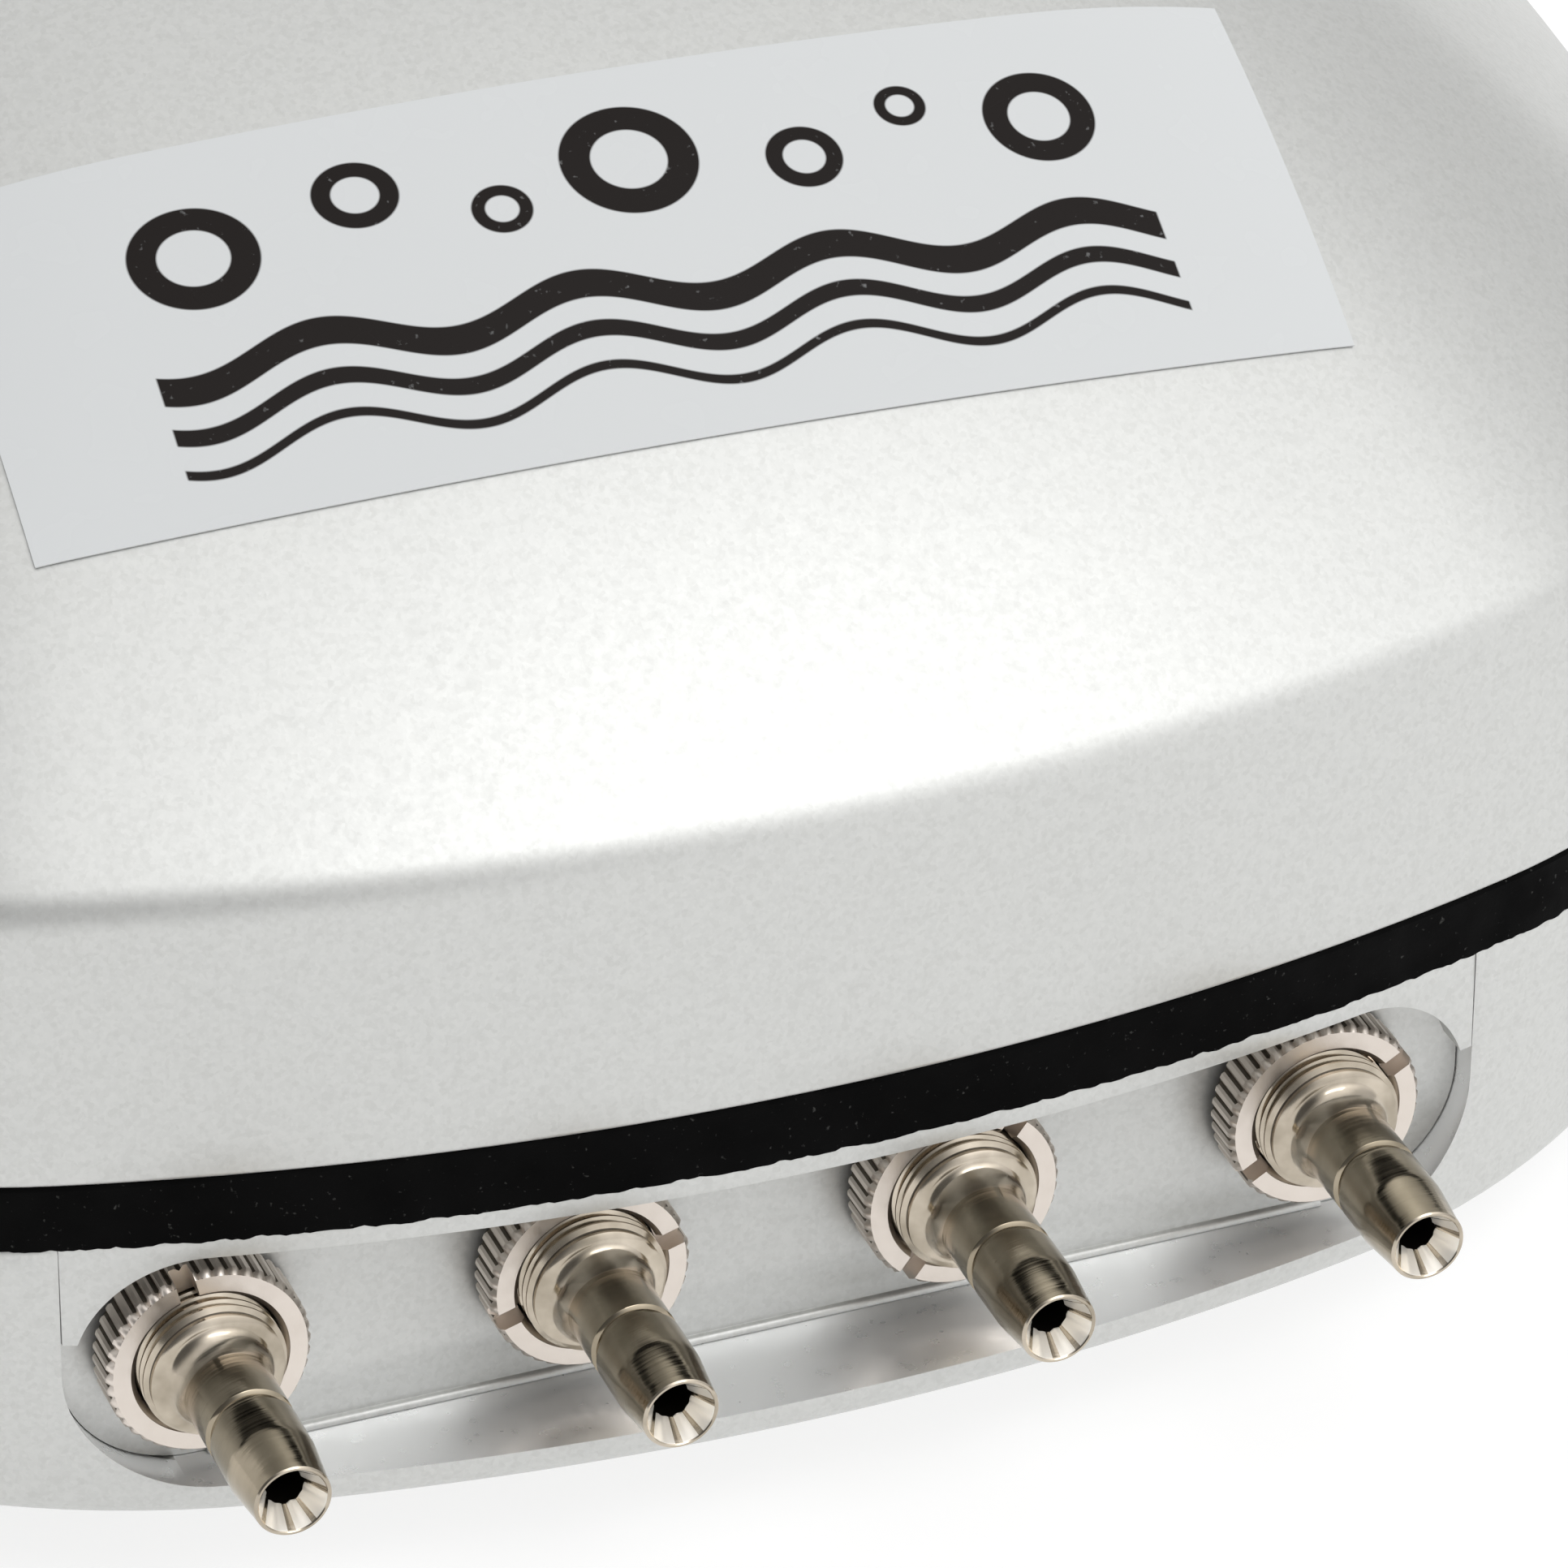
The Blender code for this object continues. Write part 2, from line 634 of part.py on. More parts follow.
def outlet_panel():
    """Insert that closes the notch: flat plate behind, flush band above the recess."""
    top = SEAL_BOTTOM_Z
    radius = NOTCH_CORNER_RADIUS - GAP
    outline = notch_outline(PANEL_HALF_WIDTH, BASE_FLOOR_Z + GAP, radius, top)
    panel = prism("outlet_panel", outline, -100 * MM, PANEL_BACK_Y, silver_paint(), "Y")
    outside = casing_outline(0.05 * MM)
    front = [outside.ring(-MM), outside.ring(SEAL_TOP_Z)]
    combine(panel, loft("outside", front, silver_paint()), "INTERSECT")
    half = PANEL_HALF_WIDTH - 0.25 * MM
    pocket = recess_outline(half)
    cut(panel, prism("pocket", pocket, -101 * MM, RECESS_FACE_Y, silver_paint(), "Y"))
    for x in nozzle_places():
        drill(panel, THREAD_RADIUS + GAP, 80 * MM, 101 * MM, (x, 0, NOZZLE_Z), (0, -1, 0), 16)
    return panel


def recess_outline(half_width):
    """Recess front: round upper corners, open below the height where they get thin."""
    radius = (RECESS_TOP_Z - RECESS_FLOOR_Z) / 2
    low = BASE_Z
    wide = half_width + 3 * MM
    centre_z = RECESS_TOP_Z - radius
    start = (SPANDREL_Z - centre_z) / radius
    first = sqrt(1 - start**2)
    points = [(PANEL_X - wide, low), (PANEL_X + wide, low), (PANEL_X + wide, SPANDREL_Z)]
    steps = 6
    from_angle = Vector((first, start)).angle(Vector((1, 0)))
    for side in (1, -1):
        arc = []
        for i in range(steps + 1):
            angle = from_angle + (pi / 2 - from_angle) * i / steps
            x = PANEL_X + side * (half_width - radius + radius * cos(angle))
            arc.append((x, centre_z + radius * sin(angle)))
        points += arc if side > 0 else arc[::-1]
    points.append((PANEL_X - wide, SPANDREL_Z))
    return points


def nozzle_places():
    """X of each nozzle, from left to right."""
    middle = (NOZZLE_COUNT - 1) / 2
    return [NOZZLE_ROW_X + (i - middle) * NOZZLE_PITCH for i in range(NOZZLE_COUNT)]


def outlet_nozzle(name, x):
    """Plated hose nozzle: inner flange, thread, barrel with a groove, tapered tip and bore."""
    face = -NUT_FACE_Y
    tip = face + NOZZLE_REACH
    groove = face + GROOVE_REACH
    back = -PANEL_BACK_Y - GAP
    flange = back - FLANGE_THICKNESS
    tail = flange - TAIL_LENGTH
    chamfer = 0.4 * MM
    lip = 0.25 * MM
    profile = [
        (NOZZLE_BORE_RADIUS, tail),
        (SPIGOT_RADIUS, tail),
        (SPIGOT_RADIUS, flange),
        (FLANGE_RADIUS, flange),
        (FLANGE_RADIUS, back),
        (THREAD_RADIUS, back),
        (THREAD_RADIUS, face + THREAD_REACH - chamfer),
        (THREAD_RADIUS - chamfer, face + THREAD_REACH),
        (BARREL_RADIUS + lip, (face + THREAD_REACH + face + SHOULDER_REACH) / 2),
        (BARREL_RADIUS, face + SHOULDER_REACH),
        (BARREL_RADIUS, groove),
        (BARREL_RADIUS - GROOVE_DEPTH, groove + 0.2 * GROOVE_WIDTH),
        (BARREL_RADIUS - GROOVE_DEPTH, groove + 0.8 * GROOVE_WIDTH),
        (BARREL_RADIUS, groove + GROOVE_WIDTH),
        (BARREL_RADIUS, face + TAPER_REACH),
        (TIP_RADIUS, tip - chamfer),
        (TIP_RADIUS, tip),
        (TIP_RADIUS - lip, tip),
        (NOZZLE_BORE_RADIUS, tip - COUNTERSINK_DEPTH),
    ]
    return turned(name, profile, nickel(), (x, 0, NOZZLE_Z), (0, -1, 0), 14)


def ring_nut(name, x, slot_angle):
    """Slotted round nut on the nozzle's thread."""
    front = -NUT_FACE_Y
    back = front - NUT_THICKNESS
    profile = [
        (NUT_BORE_RADIUS, back),
        (NUT_RADIUS - NUT_EDGE, back),
        (NUT_RADIUS, back + NUT_EDGE),
        (NUT_RADIUS, front - NUT_EDGE),
        (NUT_RADIUS - NUT_EDGE, front),
        (NUT_BORE_RADIUS, front),
    ]
    nut = turned(name, profile, nickel(), (x, 0, NOZZLE_Z), (0, -1, 0), 20)
    half = NUT_SLOT_WIDTH / 2
    reach = 2 * NUT_RADIUS
    low = (-reach, NUT_FACE_Y - MM, -half)
    slot = box("slot", low, (reach, NUT_FACE_Y + NUT_SLOT_DEPTH, half), nickel())
    turn = Matrix.Rotation(-radians(slot_angle), 4, "Y")
    slot.data.transform(Matrix.Translation((x, 0, NOZZLE_Z)) @ turn)
    cut(nut, slot)
    return nut


def front_label():
    """Plain sticker laid on the front slope of the dome."""
    columns, rows = LABEL_STEPS
    sheets = ([], [])
    for row in range(rows + 1):
        for column in range(columns + 1):
            across = LABEL_WIDTH * (column / columns - 0.5)
            upward = LABEL_HEIGHT * LABEL_PLAN_SHARE * row / rows
            bend = LABEL_BEND * (2 * across / LABEL_WIDTH) ** 2
            x = LABEL_X + across * cos(LABEL_TURN) - upward * sin(LABEL_TURN)
            y = LABEL_LOWER_Y + across * sin(LABEL_TURN) + upward * cos(LABEL_TURN) + bend
            foot = Vector((x, y, dome_z(x, y)))
            for sheet, lift in zip(sheets, (GAP, GAP + LABEL_THICKNESS)):
                sheet.append(foot + lift * dome_normal(x, y))
    points = sheets[0] + sheets[1]
    shift = len(sheets[0])
    wide = columns + 1
    faces = []
    for row in range(rows):
        for column in range(columns):
            a = row * wide + column
            face = (a, a + 1, a + 1 + wide, a + wide)
            faces.append(face)
            faces.append(tuple(shift + i for i in face[::-1]))
    border = [column for column in range(wide)]
    border += [row * wide + columns for row in range(1, rows + 1)]
    border += [rows * wide + column for column in range(columns - 1, -1, -1)]
    border += [row * wide for row in range(rows - 1, 0, -1)]
    for here, after in zip(border, border[1:] + border[:1]):
        faces.append((here, after, shift + after, shift + here))
    mesh = bpy.data.meshes.new("front_label")
    mesh.from_pydata(points, [], faces)
    return add_object("front_label", mesh, label_film())


def rubber_foot(name, x, y):
    """Round foot with a stem pressed through the base."""
    profile = [
        (0, 0),
        (FOOT_RADIUS - FOOT_EDGE, 0),
        (FOOT_RADIUS, FOOT_EDGE),
        (FOOT_RADIUS - 0.6 * FOOT_EDGE, BASE_Z - GAP),
        (FOOT_STEM_RADIUS, BASE_Z - GAP),
        (FOOT_STEM_RADIUS, FOOT_STEM_TOP_Z),
        (0, FOOT_STEM_TOP_Z),
    ]
    return turned(name, profile, black_rubber(), (x, y, 0), (0, 0, 1), 20)


def casing_screw(name, x, y):
    """Long screw from under the base into the cover's post."""
    head = BASE_Z + GAP
    neck = head + SCREW_HEAD_THICKNESS
    profile = [
        (0, head),
        (SCREW_HEAD_RADIUS, head),
        (SCREW_HEAD_RADIUS, neck),
        (SCREW_RADIUS, neck),
        (SCREW_RADIUS, SCREW_TOP_Z - SCREW_RADIUS),
        (0, SCREW_TOP_Z),
    ]
    return turned(name, profile, steel(), (x, y, 0), (0, 0, 1), 12)


def filter_cover():
    """Round slotted cap under the base that holds the inlet filter."""
    high = BASE_Z - GAP
    flange = FILTER_HOLE_RADIUS + FILTER_FLANGE
    rim = FILTER_HOLE_RADIUS - GAP
    rim_top = BASE_FLOOR_Z + 0.5 * MM
    profile = [
        (0, FILTER_COVER_Z),
        (flange, FILTER_COVER_Z),
        (flange, high),
        (rim, high),
        (rim, rim_top),
        (rim - FILTER_COVER_WALL, rim_top),
        (rim - FILTER_COVER_WALL, high),
        (0, high),
    ]
    cover = turned("filter_cover", profile, grey_plastic(), (0, FILTER_Y, 0), (0, 0, 1), 28)
    half_width = FILTER_SLOT_WIDTH / 2
    for step in (-2, -1, 0, 1, 2):
        x = step * FILTER_SLOT_PITCH
        half = FILTER_SLOT_HALF_LENGTH * (1 - 0.16 * abs(step))
        low_corner = (x - half_width, FILTER_Y - half, FILTER_COVER_Z - MM)
        high_corner = (x + half_width, FILTER_Y + half, BASE_Z)
        cut(cover, box("slot", low_corner, high_corner, grey_plastic()))
    return cover


def intake_filter():
    """Felt disc inside the cap."""
    low = BASE_Z + 0.1 * MM
    high = low + FILTER_THICKNESS
    return rod("intake_filter", FILTER_RADIUS, low, high, felt(), (0, FILTER_Y, 0), (0, 0, 1), 24)


def cable_gland():
    """Hollow gland in the rear wall for the mains lead."""
    wall = CASING_LENGTH / 2 + GAP
    flange = wall + GLAND_FLANGE_THICKNESS
    bevel = GLAND_NECK_RADIUS - GLAND_END_RADIUS
    profile = [
        (GLAND_BORE_RADIUS, GLAND_START_Y),
        (GLAND_RADIUS, GLAND_START_Y),
        (GLAND_RADIUS, wall),
        (GLAND_FLANGE_RADIUS, wall),
        (GLAND_FLANGE_RADIUS, flange),
        (GLAND_NECK_RADIUS, flange + 2 * GAP),
        (GLAND_NECK_RADIUS, GLAND_END_Y - bevel),
        (GLAND_END_RADIUS, GLAND_END_Y),
        (GLAND_BORE_RADIUS, GLAND_END_Y),
    ]
    return turned("cable_gland", profile, black_rubber(), (0, 0, GLAND_Z), (0, 1, 0), 24)


# ---- air path inside ---------------------------------------------------------------------
def outlet_manifold():
    """Hollow block that shares the air between the nozzles, with two hose spigots."""
    low_z = NOZZLE_Z - MANIFOLD_HALF_HEIGHT
    high_z = NOZZLE_Z + MANIFOLD_HALF_HEIGHT
    left = NOZZLE_ROW_X - MANIFOLD_HALF_WIDTH
    right = NOZZLE_ROW_X + MANIFOLD_HALF_WIDTH
    block = box(
        "outlet_manifold",
        (left, MANIFOLD_FRONT_Y, low_z),
        (right, MANIFOLD_BACK_Y, high_z),
        grey_plastic(),
    )
    for side in (-1, 1):
        x = side * MANIFOLD_PORT_X
        start = MANIFOLD_BACK_Y - MM
        end = MANIFOLD_BACK_Y + SPIGOT_LENGTH
        fuse(block, rod("spigot", SPIGOT_RADIUS, start, end, grey_plastic(), (x, 0, NOZZLE_Z), (0, 1, 0), 12))
    wall = MANIFOLD_WALL
    channel = box(
        "channel",
        (left + wall, MANIFOLD_FRONT_Y + wall, low_z + wall),
        (right - wall, MANIFOLD_BACK_Y - wall, high_z - wall),
        grey_plastic(),
    )
    cut(block, channel)
    for side in (-1, 1):
        spot = (side * MANIFOLD_PORT_X, 0, NOZZLE_Z)
        start = MANIFOLD_BACK_Y - wall - MM
        end = MANIFOLD_BACK_Y + SPIGOT_LENGTH + MM
        drill(block, SPIGOT_BORE_RADIUS, start, end, spot, (0, 1, 0), 12)
    for x in nozzle_places():
        start = MANIFOLD_FRONT_Y - MM
        end = MANIFOLD_FRONT_Y + wall + MM
        drill(block, SPIGOT_RADIUS + GAP, start, end, (x, 0, NOZZLE_Z), (0, 1, 0), 12)
    return block


def valve_box(name, side):
    """Block with the pump chamber, two valve pockets, ports and an outlet spigot."""
    finish = grey_plastic()
    low_y = DIAPHRAGM_Y - BOX_HALF_LENGTH
    high_y = DIAPHRAGM_Y + BOX_HALF_LENGTH
    low_z = WORKS_Z - BOX_HALF_LENGTH
    high_z = WORKS_Z + BOX_HALF_LENGTH
    inner, outer = side * BOX_INNER_X, side * BOX_OUTER_X
    block = box(name, (min(inner, outer), low_y, low_z), (max(inner, outer), high_y, high_z), finish)
    spigot_x = side * (DIVIDER_X[1] + BOX_OUTER_X) / 2
    spot = (spigot_x, 0, WORKS_Z)
    fuse(block, rod("spigot", SPIGOT_RADIUS, low_y - SPIGOT_LENGTH, low_y + MM, finish, spot, (0, 1, 0), 12))
    axis = (side, 0, 0)
    centre = (0, DIAPHRAGM_Y, WORKS_Z)
    drill(block, CHAMBER_RADIUS, BOX_INNER_X - MM, DIVIDER_X[0], centre, axis, 24)
    for end in (-1, 1):
        near = DIAPHRAGM_Y + end * BOX_HALF_PARTITION
        far = DIAPHRAGM_Y + end * (BOX_HALF_LENGTH - BOX_WALL)
        pocket = box(
            "pocket",
            (min(side * DIVIDER_X[1], outer + side * MM), min(near, far), low_z + BOX_WALL),
            (max(side * DIVIDER_X[1], outer + side * MM), max(near, far), high_z - BOX_WALL),
            finish,
        )
        cut(block, pocket)
        port = (0, DIAPHRAGM_Y + end * VALVE_OFFSET_Y, WORKS_Z)
        drill(block, PORT_RADIUS, DIVIDER_X[0] - MM, DIVIDER_X[1] + MM, port, axis, 12)
    bore_start = low_y - SPIGOT_LENGTH - MM
    drill(block, SPIGOT_BORE_RADIUS, bore_start, low_y + BOX_WALL + MM, spot, (0, 1, 0), 12)
    drill(block, PORT_RADIUS, high_y - BOX_WALL - MM, high_y + MM, spot, (0, 1, 0), 12)
    return block


def valve_cover(name, side):
    """Flat lid on the outer side of a valve box."""
    near = side * (BOX_OUTER_X + GAP)
    far = near + side * BOX_COVER_THICKNESS
    half = BOX_HALF_LENGTH
    low = (min(near, far), DIAPHRAGM_Y - half, WORKS_Z - half)
    high = (max(near, far), DIAPHRAGM_Y + half, WORKS_Z + half)
    return box(name, low, high, grey_plastic())


def valve_flap(name, side, end):
    """Thin rubber flap over a port, hinged along its upper edge.

    The outlet flap lies outside the dividing wall, the inlet flap on the chamber side.
    """
    if end < 0:
        near = DIVIDER_X[1] + GAP
        far = near + FLAP_THICKNESS
    else:
        near = DIVIDER_X[0] - GAP
        far = near - FLAP_THICKNESS
    y = DIAPHRAGM_Y + end * VALVE_OFFSET_Y
    low = (min(side * near, side * far), y - FLAP_HALF_WIDTH, FLAP_BOTTOM_Z)
    high = (max(side * near, side * far), y + FLAP_HALF_WIDTH, FLAP_TOP_Z)
    flap = box(name, low, high, black_rubber())
    move_origin(flap, (side * near, y, FLAP_TOP_Z))
    return flap


def air_hose(name, side):
    """Short hose from a valve box to the manifold."""
    start = Vector((side * MANIFOLD_PORT_X, MANIFOLD_BACK_Y + GAP, NOZZLE_Z))
    end_x = side * (DIVIDER_X[1] + BOX_OUTER_X) / 2
    end = Vector((end_x, DIAPHRAGM_Y - BOX_HALF_LENGTH - GAP, WORKS_Z))
    straight = SPIGOT_LENGTH * Vector((0, 1, 0))
    first = start + straight
    last = end - straight
    route = [start, first]
    steps = 7
    pull = 0.5 * (last.y - first.y) * Vector((0, 1, 0))
    for i in range(1, steps):
        t = i / steps
        a, b = first + pull, last - pull
        point = (1 - t) ** 3 * first + 3 * t * (1 - t) ** 2 * a + 3 * t * t * (1 - t) * b + t**3 * last
        route.append(point)
    route += [last, end]
    return swept(name, route, HOSE_RADIUS, SPIGOT_RADIUS + GAP, black_rubber())


def diaphragm(name, side):
    """Rolled rubber diaphragm between the arm and the valve box."""
    profile = [
        (1.8, 21.8), (6.5, 21.8), (8.0, 24.2), (11.5, 25.4), (13.0, 27.6), (13.4, 29.4),
        (16.0, 29.4), (16.0, 31.7), (12.0, 31.7), (11.4, 28.8), (10.4, 27.4), (7.2, 26.4),
        (5.5, 25.0), (1.8, 25.0),
    ]
    scaled = [(radius * MM, along * MM) for radius, along in profile]
    return turned(name, scaled, black_rubber(), (0, DIAPHRAGM_Y, WORKS_Z), (side, 0, 0), 16)


def diaphragm_stud(name, side):
    """Washer, shank and nut that join a diaphragm to its arm."""
    profile = [
        (0, 26.8), (4.5, 26.8), (4.5, 25.3), (1.5, 25.3), (1.5, 18.2),
        (3.3, 18.2), (3.3, 15.2), (1.5, 15.2), (1.5, 14.2), (0, 14.2),
    ]
    scaled = [(radius * MM, along * MM) for radius, along in profile]
    made = turned(name, scaled, steel(), (0, DIAPHRAGM_Y, WORKS_Z), (side, 0, 0), 12)
    move_origin(made, (side * ARM_X, PIVOT_Y, WORKS_Z))
    return made


# ---- drive --------------------------------------------------------------------------------------
def swing_arm(name, side):
    """Flat arm with a pivot eye in front, a drilled boss and a magnet seat behind."""
    near = side * ARM_X - ARM_THICKNESS / 2
    far = side * ARM_X + ARM_THICKNESS / 2
    low_z, high_z = WORKS_Z - ARM_HALF_HEIGHT, WORKS_Z + ARM_HALF_HEIGHT
    arm = box(name, (near, PIVOT_Y, low_z), (far, ARM_END_Y, high_z), steel())
    eye_low, eye_high = WORKS_Z - EYE_HALF_HEIGHT, WORKS_Z + EYE_HALF_HEIGHT
    pivot = (side * ARM_X, PIVOT_Y, 0)
    fuse(arm, rod("eye", EYE_RADIUS, eye_low, eye_high, steel(), pivot, (0, 0, 1), 20))
    boss_low, boss_high = ARM_X - ARM_THICKNESS / 2, ARM_X + ARM_THICKNESS / 2
    centre = (0, DIAPHRAGM_Y, WORKS_Z)
    fuse(arm, rod("boss", BOSS_RADIUS, boss_low, boss_high, steel(), centre, (side, 0, 0), 20))
    drill(arm, BUSH_RADIUS + GAP, eye_low - MM, eye_high + MM, pivot, (0, 0, 1), 16)
    drill(arm, STUD_HOLE_RADIUS, boss_low - MM, boss_high + MM, centre, (side, 0, 0), 12)
    move_origin(arm, (side * ARM_X, PIVOT_Y, WORKS_Z))
    return arm


def arm_magnet(name, side):
    """Ferrite block on the inner side of the arm's free end."""
    near = ARM_X - ARM_THICKNESS / 2 - GAP
    far = near - MAGNET_THICKNESS
    low = (min(side * near, side * far), ARM_END_Y - MAGNET_LENGTH, WORKS_Z - MAGNET_HALF_HEIGHT)
    high = (max(side * near, side * far), ARM_END_Y, WORKS_Z + MAGNET_HALF_HEIGHT)
    made = box(name, low, high, ferrite())
    move_origin(made, (side * ARM_X, PIVOT_Y, WORKS_Z))
    return made


def pivot_bush(name, side):
    """Sleeve in the arm's eye."""
    low, high = WORKS_Z - EYE_HALF_HEIGHT, WORKS_Z + EYE_HALF_HEIGHT
    inner = PIN_RADIUS + GAP
    profile = [(inner, low), (BUSH_RADIUS, low), (BUSH_RADIUS, high), (inner, high)]
    made = turned(name, profile, black_rubber(), (side * ARM_X, PIVOT_Y, 0), (0, 0, 1), 16)
    move_origin(made, (side * ARM_X, PIVOT_Y, WORKS_Z))
    return made


def pivot_pin(name, side):
    """Headed pin that stands in the frame and carries an arm."""
    neck = WORKS_Z + EYE_HALF_HEIGHT + GAP
    profile = [
        (0, FRAME_Z[0] + MM),
        (PIN_RADIUS, FRAME_Z[0] + MM),
        (PIN_RADIUS, neck),
        (PIN_HEAD_RADIUS, neck),
        (PIN_HEAD_RADIUS, neck + PIN_HEAD_THICKNESS),
        (0, neck + PIN_HEAD_THICKNESS),
    ]
    return turned(name, profile, steel(), (side * ARM_X, PIVOT_Y, 0), (0, 0, 1), 12)


def magnet_core():
    """E-shaped laminated core, poles towards the arms."""
    outline = [
        (-CORE_HALF_WIDTH, CORE_FRONT_Y), (-CORE_WINDOW_X, CORE_FRONT_Y),
        (-CORE_WINDOW_X, CORE_YOKE_Y), (-CORE_POLE_HALF, CORE_YOKE_Y),
        (-CORE_POLE_HALF, CORE_FRONT_Y), (CORE_POLE_HALF, CORE_FRONT_Y),
        (CORE_POLE_HALF, CORE_YOKE_Y), (CORE_WINDOW_X, CORE_YOKE_Y),
        (CORE_WINDOW_X, CORE_FRONT_Y), (CORE_HALF_WIDTH, CORE_FRONT_Y),
        (CORE_HALF_WIDTH, CORE_BACK_Y), (-CORE_HALF_WIDTH, CORE_BACK_Y),
    ]
    low, high = WORKS_Z - CORE_HALF_STACK, WORKS_Z + CORE_HALF_STACK
    return prism("magnet_core", outline, low, high, steel())


def frame_outline(half_x, half_z):
    """Rectangle round the core's middle pole, in X and Z."""
    return [
        (-half_x, WORKS_Z - half_z), (half_x, WORKS_Z - half_z),
        (half_x, WORKS_Z + half_z), (-half_x, WORKS_Z + half_z),
    ]


def coil_bobbin():
    """Spool round the middle pole."""
    hole_x = CORE_POLE_HALF + BOBBIN_CLEARANCE
    hole_z = CORE_HALF_STACK + BOBBIN_CLEARANCE
    wall = BOBBIN_WALL
    front, back = CORE_FRONT_Y + BOBBIN_END_ROOM, CORE_YOKE_Y - BOBBIN_END_ROOM
    finish = grey_plastic()
    spool = prism("coil_bobbin", frame_outline(hole_x + wall, hole_z + wall), front, back, finish, "Y")
    cheek = frame_outline(CORE_WINDOW_X - CHEEK_SIDE_ROOM, CORE_HALF_STACK + CHEEK_RISE)
    for start, end in ((front, front + wall), (back - wall, back)):
        shift = 0.01 * MM
        fuse(spool, prism("cheek", cheek, start - shift, end + shift, finish, "Y"))
    hole = prism("hole", frame_outline(hole_x, hole_z), front - MM, back + MM, finish, "Y")
    cut(spool, hole)
    return spool


def coil_winding():
    """Copper winding between the bobbin's cheeks."""
    front = CORE_FRONT_Y + BOBBIN_END_ROOM + BOBBIN_WALL + GAP
    back = CORE_YOKE_Y - BOBBIN_END_ROOM - BOBBIN_WALL - GAP
    spool = BOBBIN_CLEARANCE + BOBBIN_WALL + GAP
    inner_x, inner_z = CORE_POLE_HALF + spool, CORE_HALF_STACK + spool
    outer_x = CORE_WINDOW_X - CHEEK_SIDE_ROOM - MM
    outer_z = CORE_HALF_STACK + CHEEK_RISE - MM
    coil = prism("coil_winding", frame_outline(outer_x, outer_z), front, back, copper(), "Y")
    cut(coil, prism("hole", frame_outline(inner_x, inner_z), front - MM, back + MM, copper(), "Y"))
    return coil


def core_clamp():
    """Strap over the core's yoke with a foot on each side."""
    near = CORE_HALF_WIDTH + CLAMP_CLEARANCE
    far = near + CLAMP_THICKNESS
    toe = far + CLAMP_TOE
    under = WORKS_Z + CORE_HALF_STACK + GAP
    over = under + CLAMP_THICKNESS
    ground = FRAME_Z[1] + GAP
    step = ground + CLAMP_THICKNESS
    half = [(near, under), (near, ground), (toe, ground), (toe, step), (far, step), (far, over)]
    outline = half + [(-x, z) for x, z in half[::-1]]
    start = CORE_YOKE_Y + MM
    clamp = prism("core_clamp", outline, start, start + CLAMP_WIDTH, steel(), "Y")
    for side in (-1, 1):
        spot = (side * CLAMP_SCREW_X, CLAMP_SCREW_Y, 0)
        drill(clamp, CLAMP_SCREW_RADIUS + GAP, FRAME_Z[0], step + MM, spot, (0, 0, 1), 12)
    return clamp


def core_screw(name, side):
    """Short screw through the clamp's foot into the frame."""
    low = FRAME_Z[0] + 0.5 * MM
    neck = FRAME_Z[1] + CLAMP_THICKNESS + 2 * GAP
    head_radius = 2.8 * MM
    top = neck + 1.8 * MM
    profile = [
        (0, low),
        (CLAMP_SCREW_RADIUS, low),
        (CLAMP_SCREW_RADIUS, neck),
        (head_radius, neck),
        (head_radius, top),
        (0, top),
    ]
    return turned(name, profile, steel(), (side * CLAMP_SCREW_X, CLAMP_SCREW_Y, 0), (0, 0, 1), 12)


def pump_frame():
    """Moulded chassis that carries the core, the pivots and the valve boxes."""
    finish = grey_plastic()
    low, high = FRAME_Z
    front, middle = PLATE_Y
    plate = box("pump_frame", (-PLATE_HALF_WIDTH, front, low), (PLATE_HALF_WIDTH, middle, high), finish)
    rear_low = (-REAR_HALF_WIDTH, middle - MM, low)
    fuse(plate, box("rear", rear_low, (REAR_HALF_WIDTH, REAR_END_Y, high), finish))
    root = high - MM
    for side in (-1, 1):
        x0, x1 = sorted((side * CORE_WINDOW_X, side * CORE_HALF_WIDTH))
        seat_top = WORKS_Z - CORE_HALF_STACK - GAP
        fuse(plate, box("core_seat", (x0, CORE_SEAT_Y[0], root), (x1, CORE_SEAT_Y[1], seat_top), finish))
        x0, x1 = sorted((side * (BOX_INNER_X + MM), side * (BOX_OUTER_X - MM)))
        seat_top = WORKS_Z - BOX_HALF_LENGTH - GAP
        half = BOX_HALF_LENGTH - MM
        low_corner = (x0, DIAPHRAGM_Y - half, root)
        fuse(plate, box("box_seat", low_corner, (x1, DIAPHRAGM_Y + half, seat_top), finish))
        pivot = (side * ARM_X, PIVOT_Y, 0)
        post_top = WORKS_Z - EYE_HALF_HEIGHT - GAP
        fuse(plate, rod("pivot_post", PIVOT_POST_RADIUS, root, post_top, finish, pivot, (0, 0, 1), 16))
        drill(plate, PIN_RADIUS + GAP, low + MM - GAP, post_top + MM, pivot, (0, 0, 1), 12)
        spot = (side * CLAMP_SCREW_X, CLAMP_SCREW_Y, 0)
        drill(plate, CLAMP_SCREW_RADIUS + GAP, low - MM, high + MM, spot, (0, 0, 1), 12)
        for x, y in GROMMET_SPOTS:
            drill(plate, GROMMET_NECK_RADIUS + GAP, low - MM, high + MM, (side * x, y, 0), (0, 0, 1), 12)
    return plate


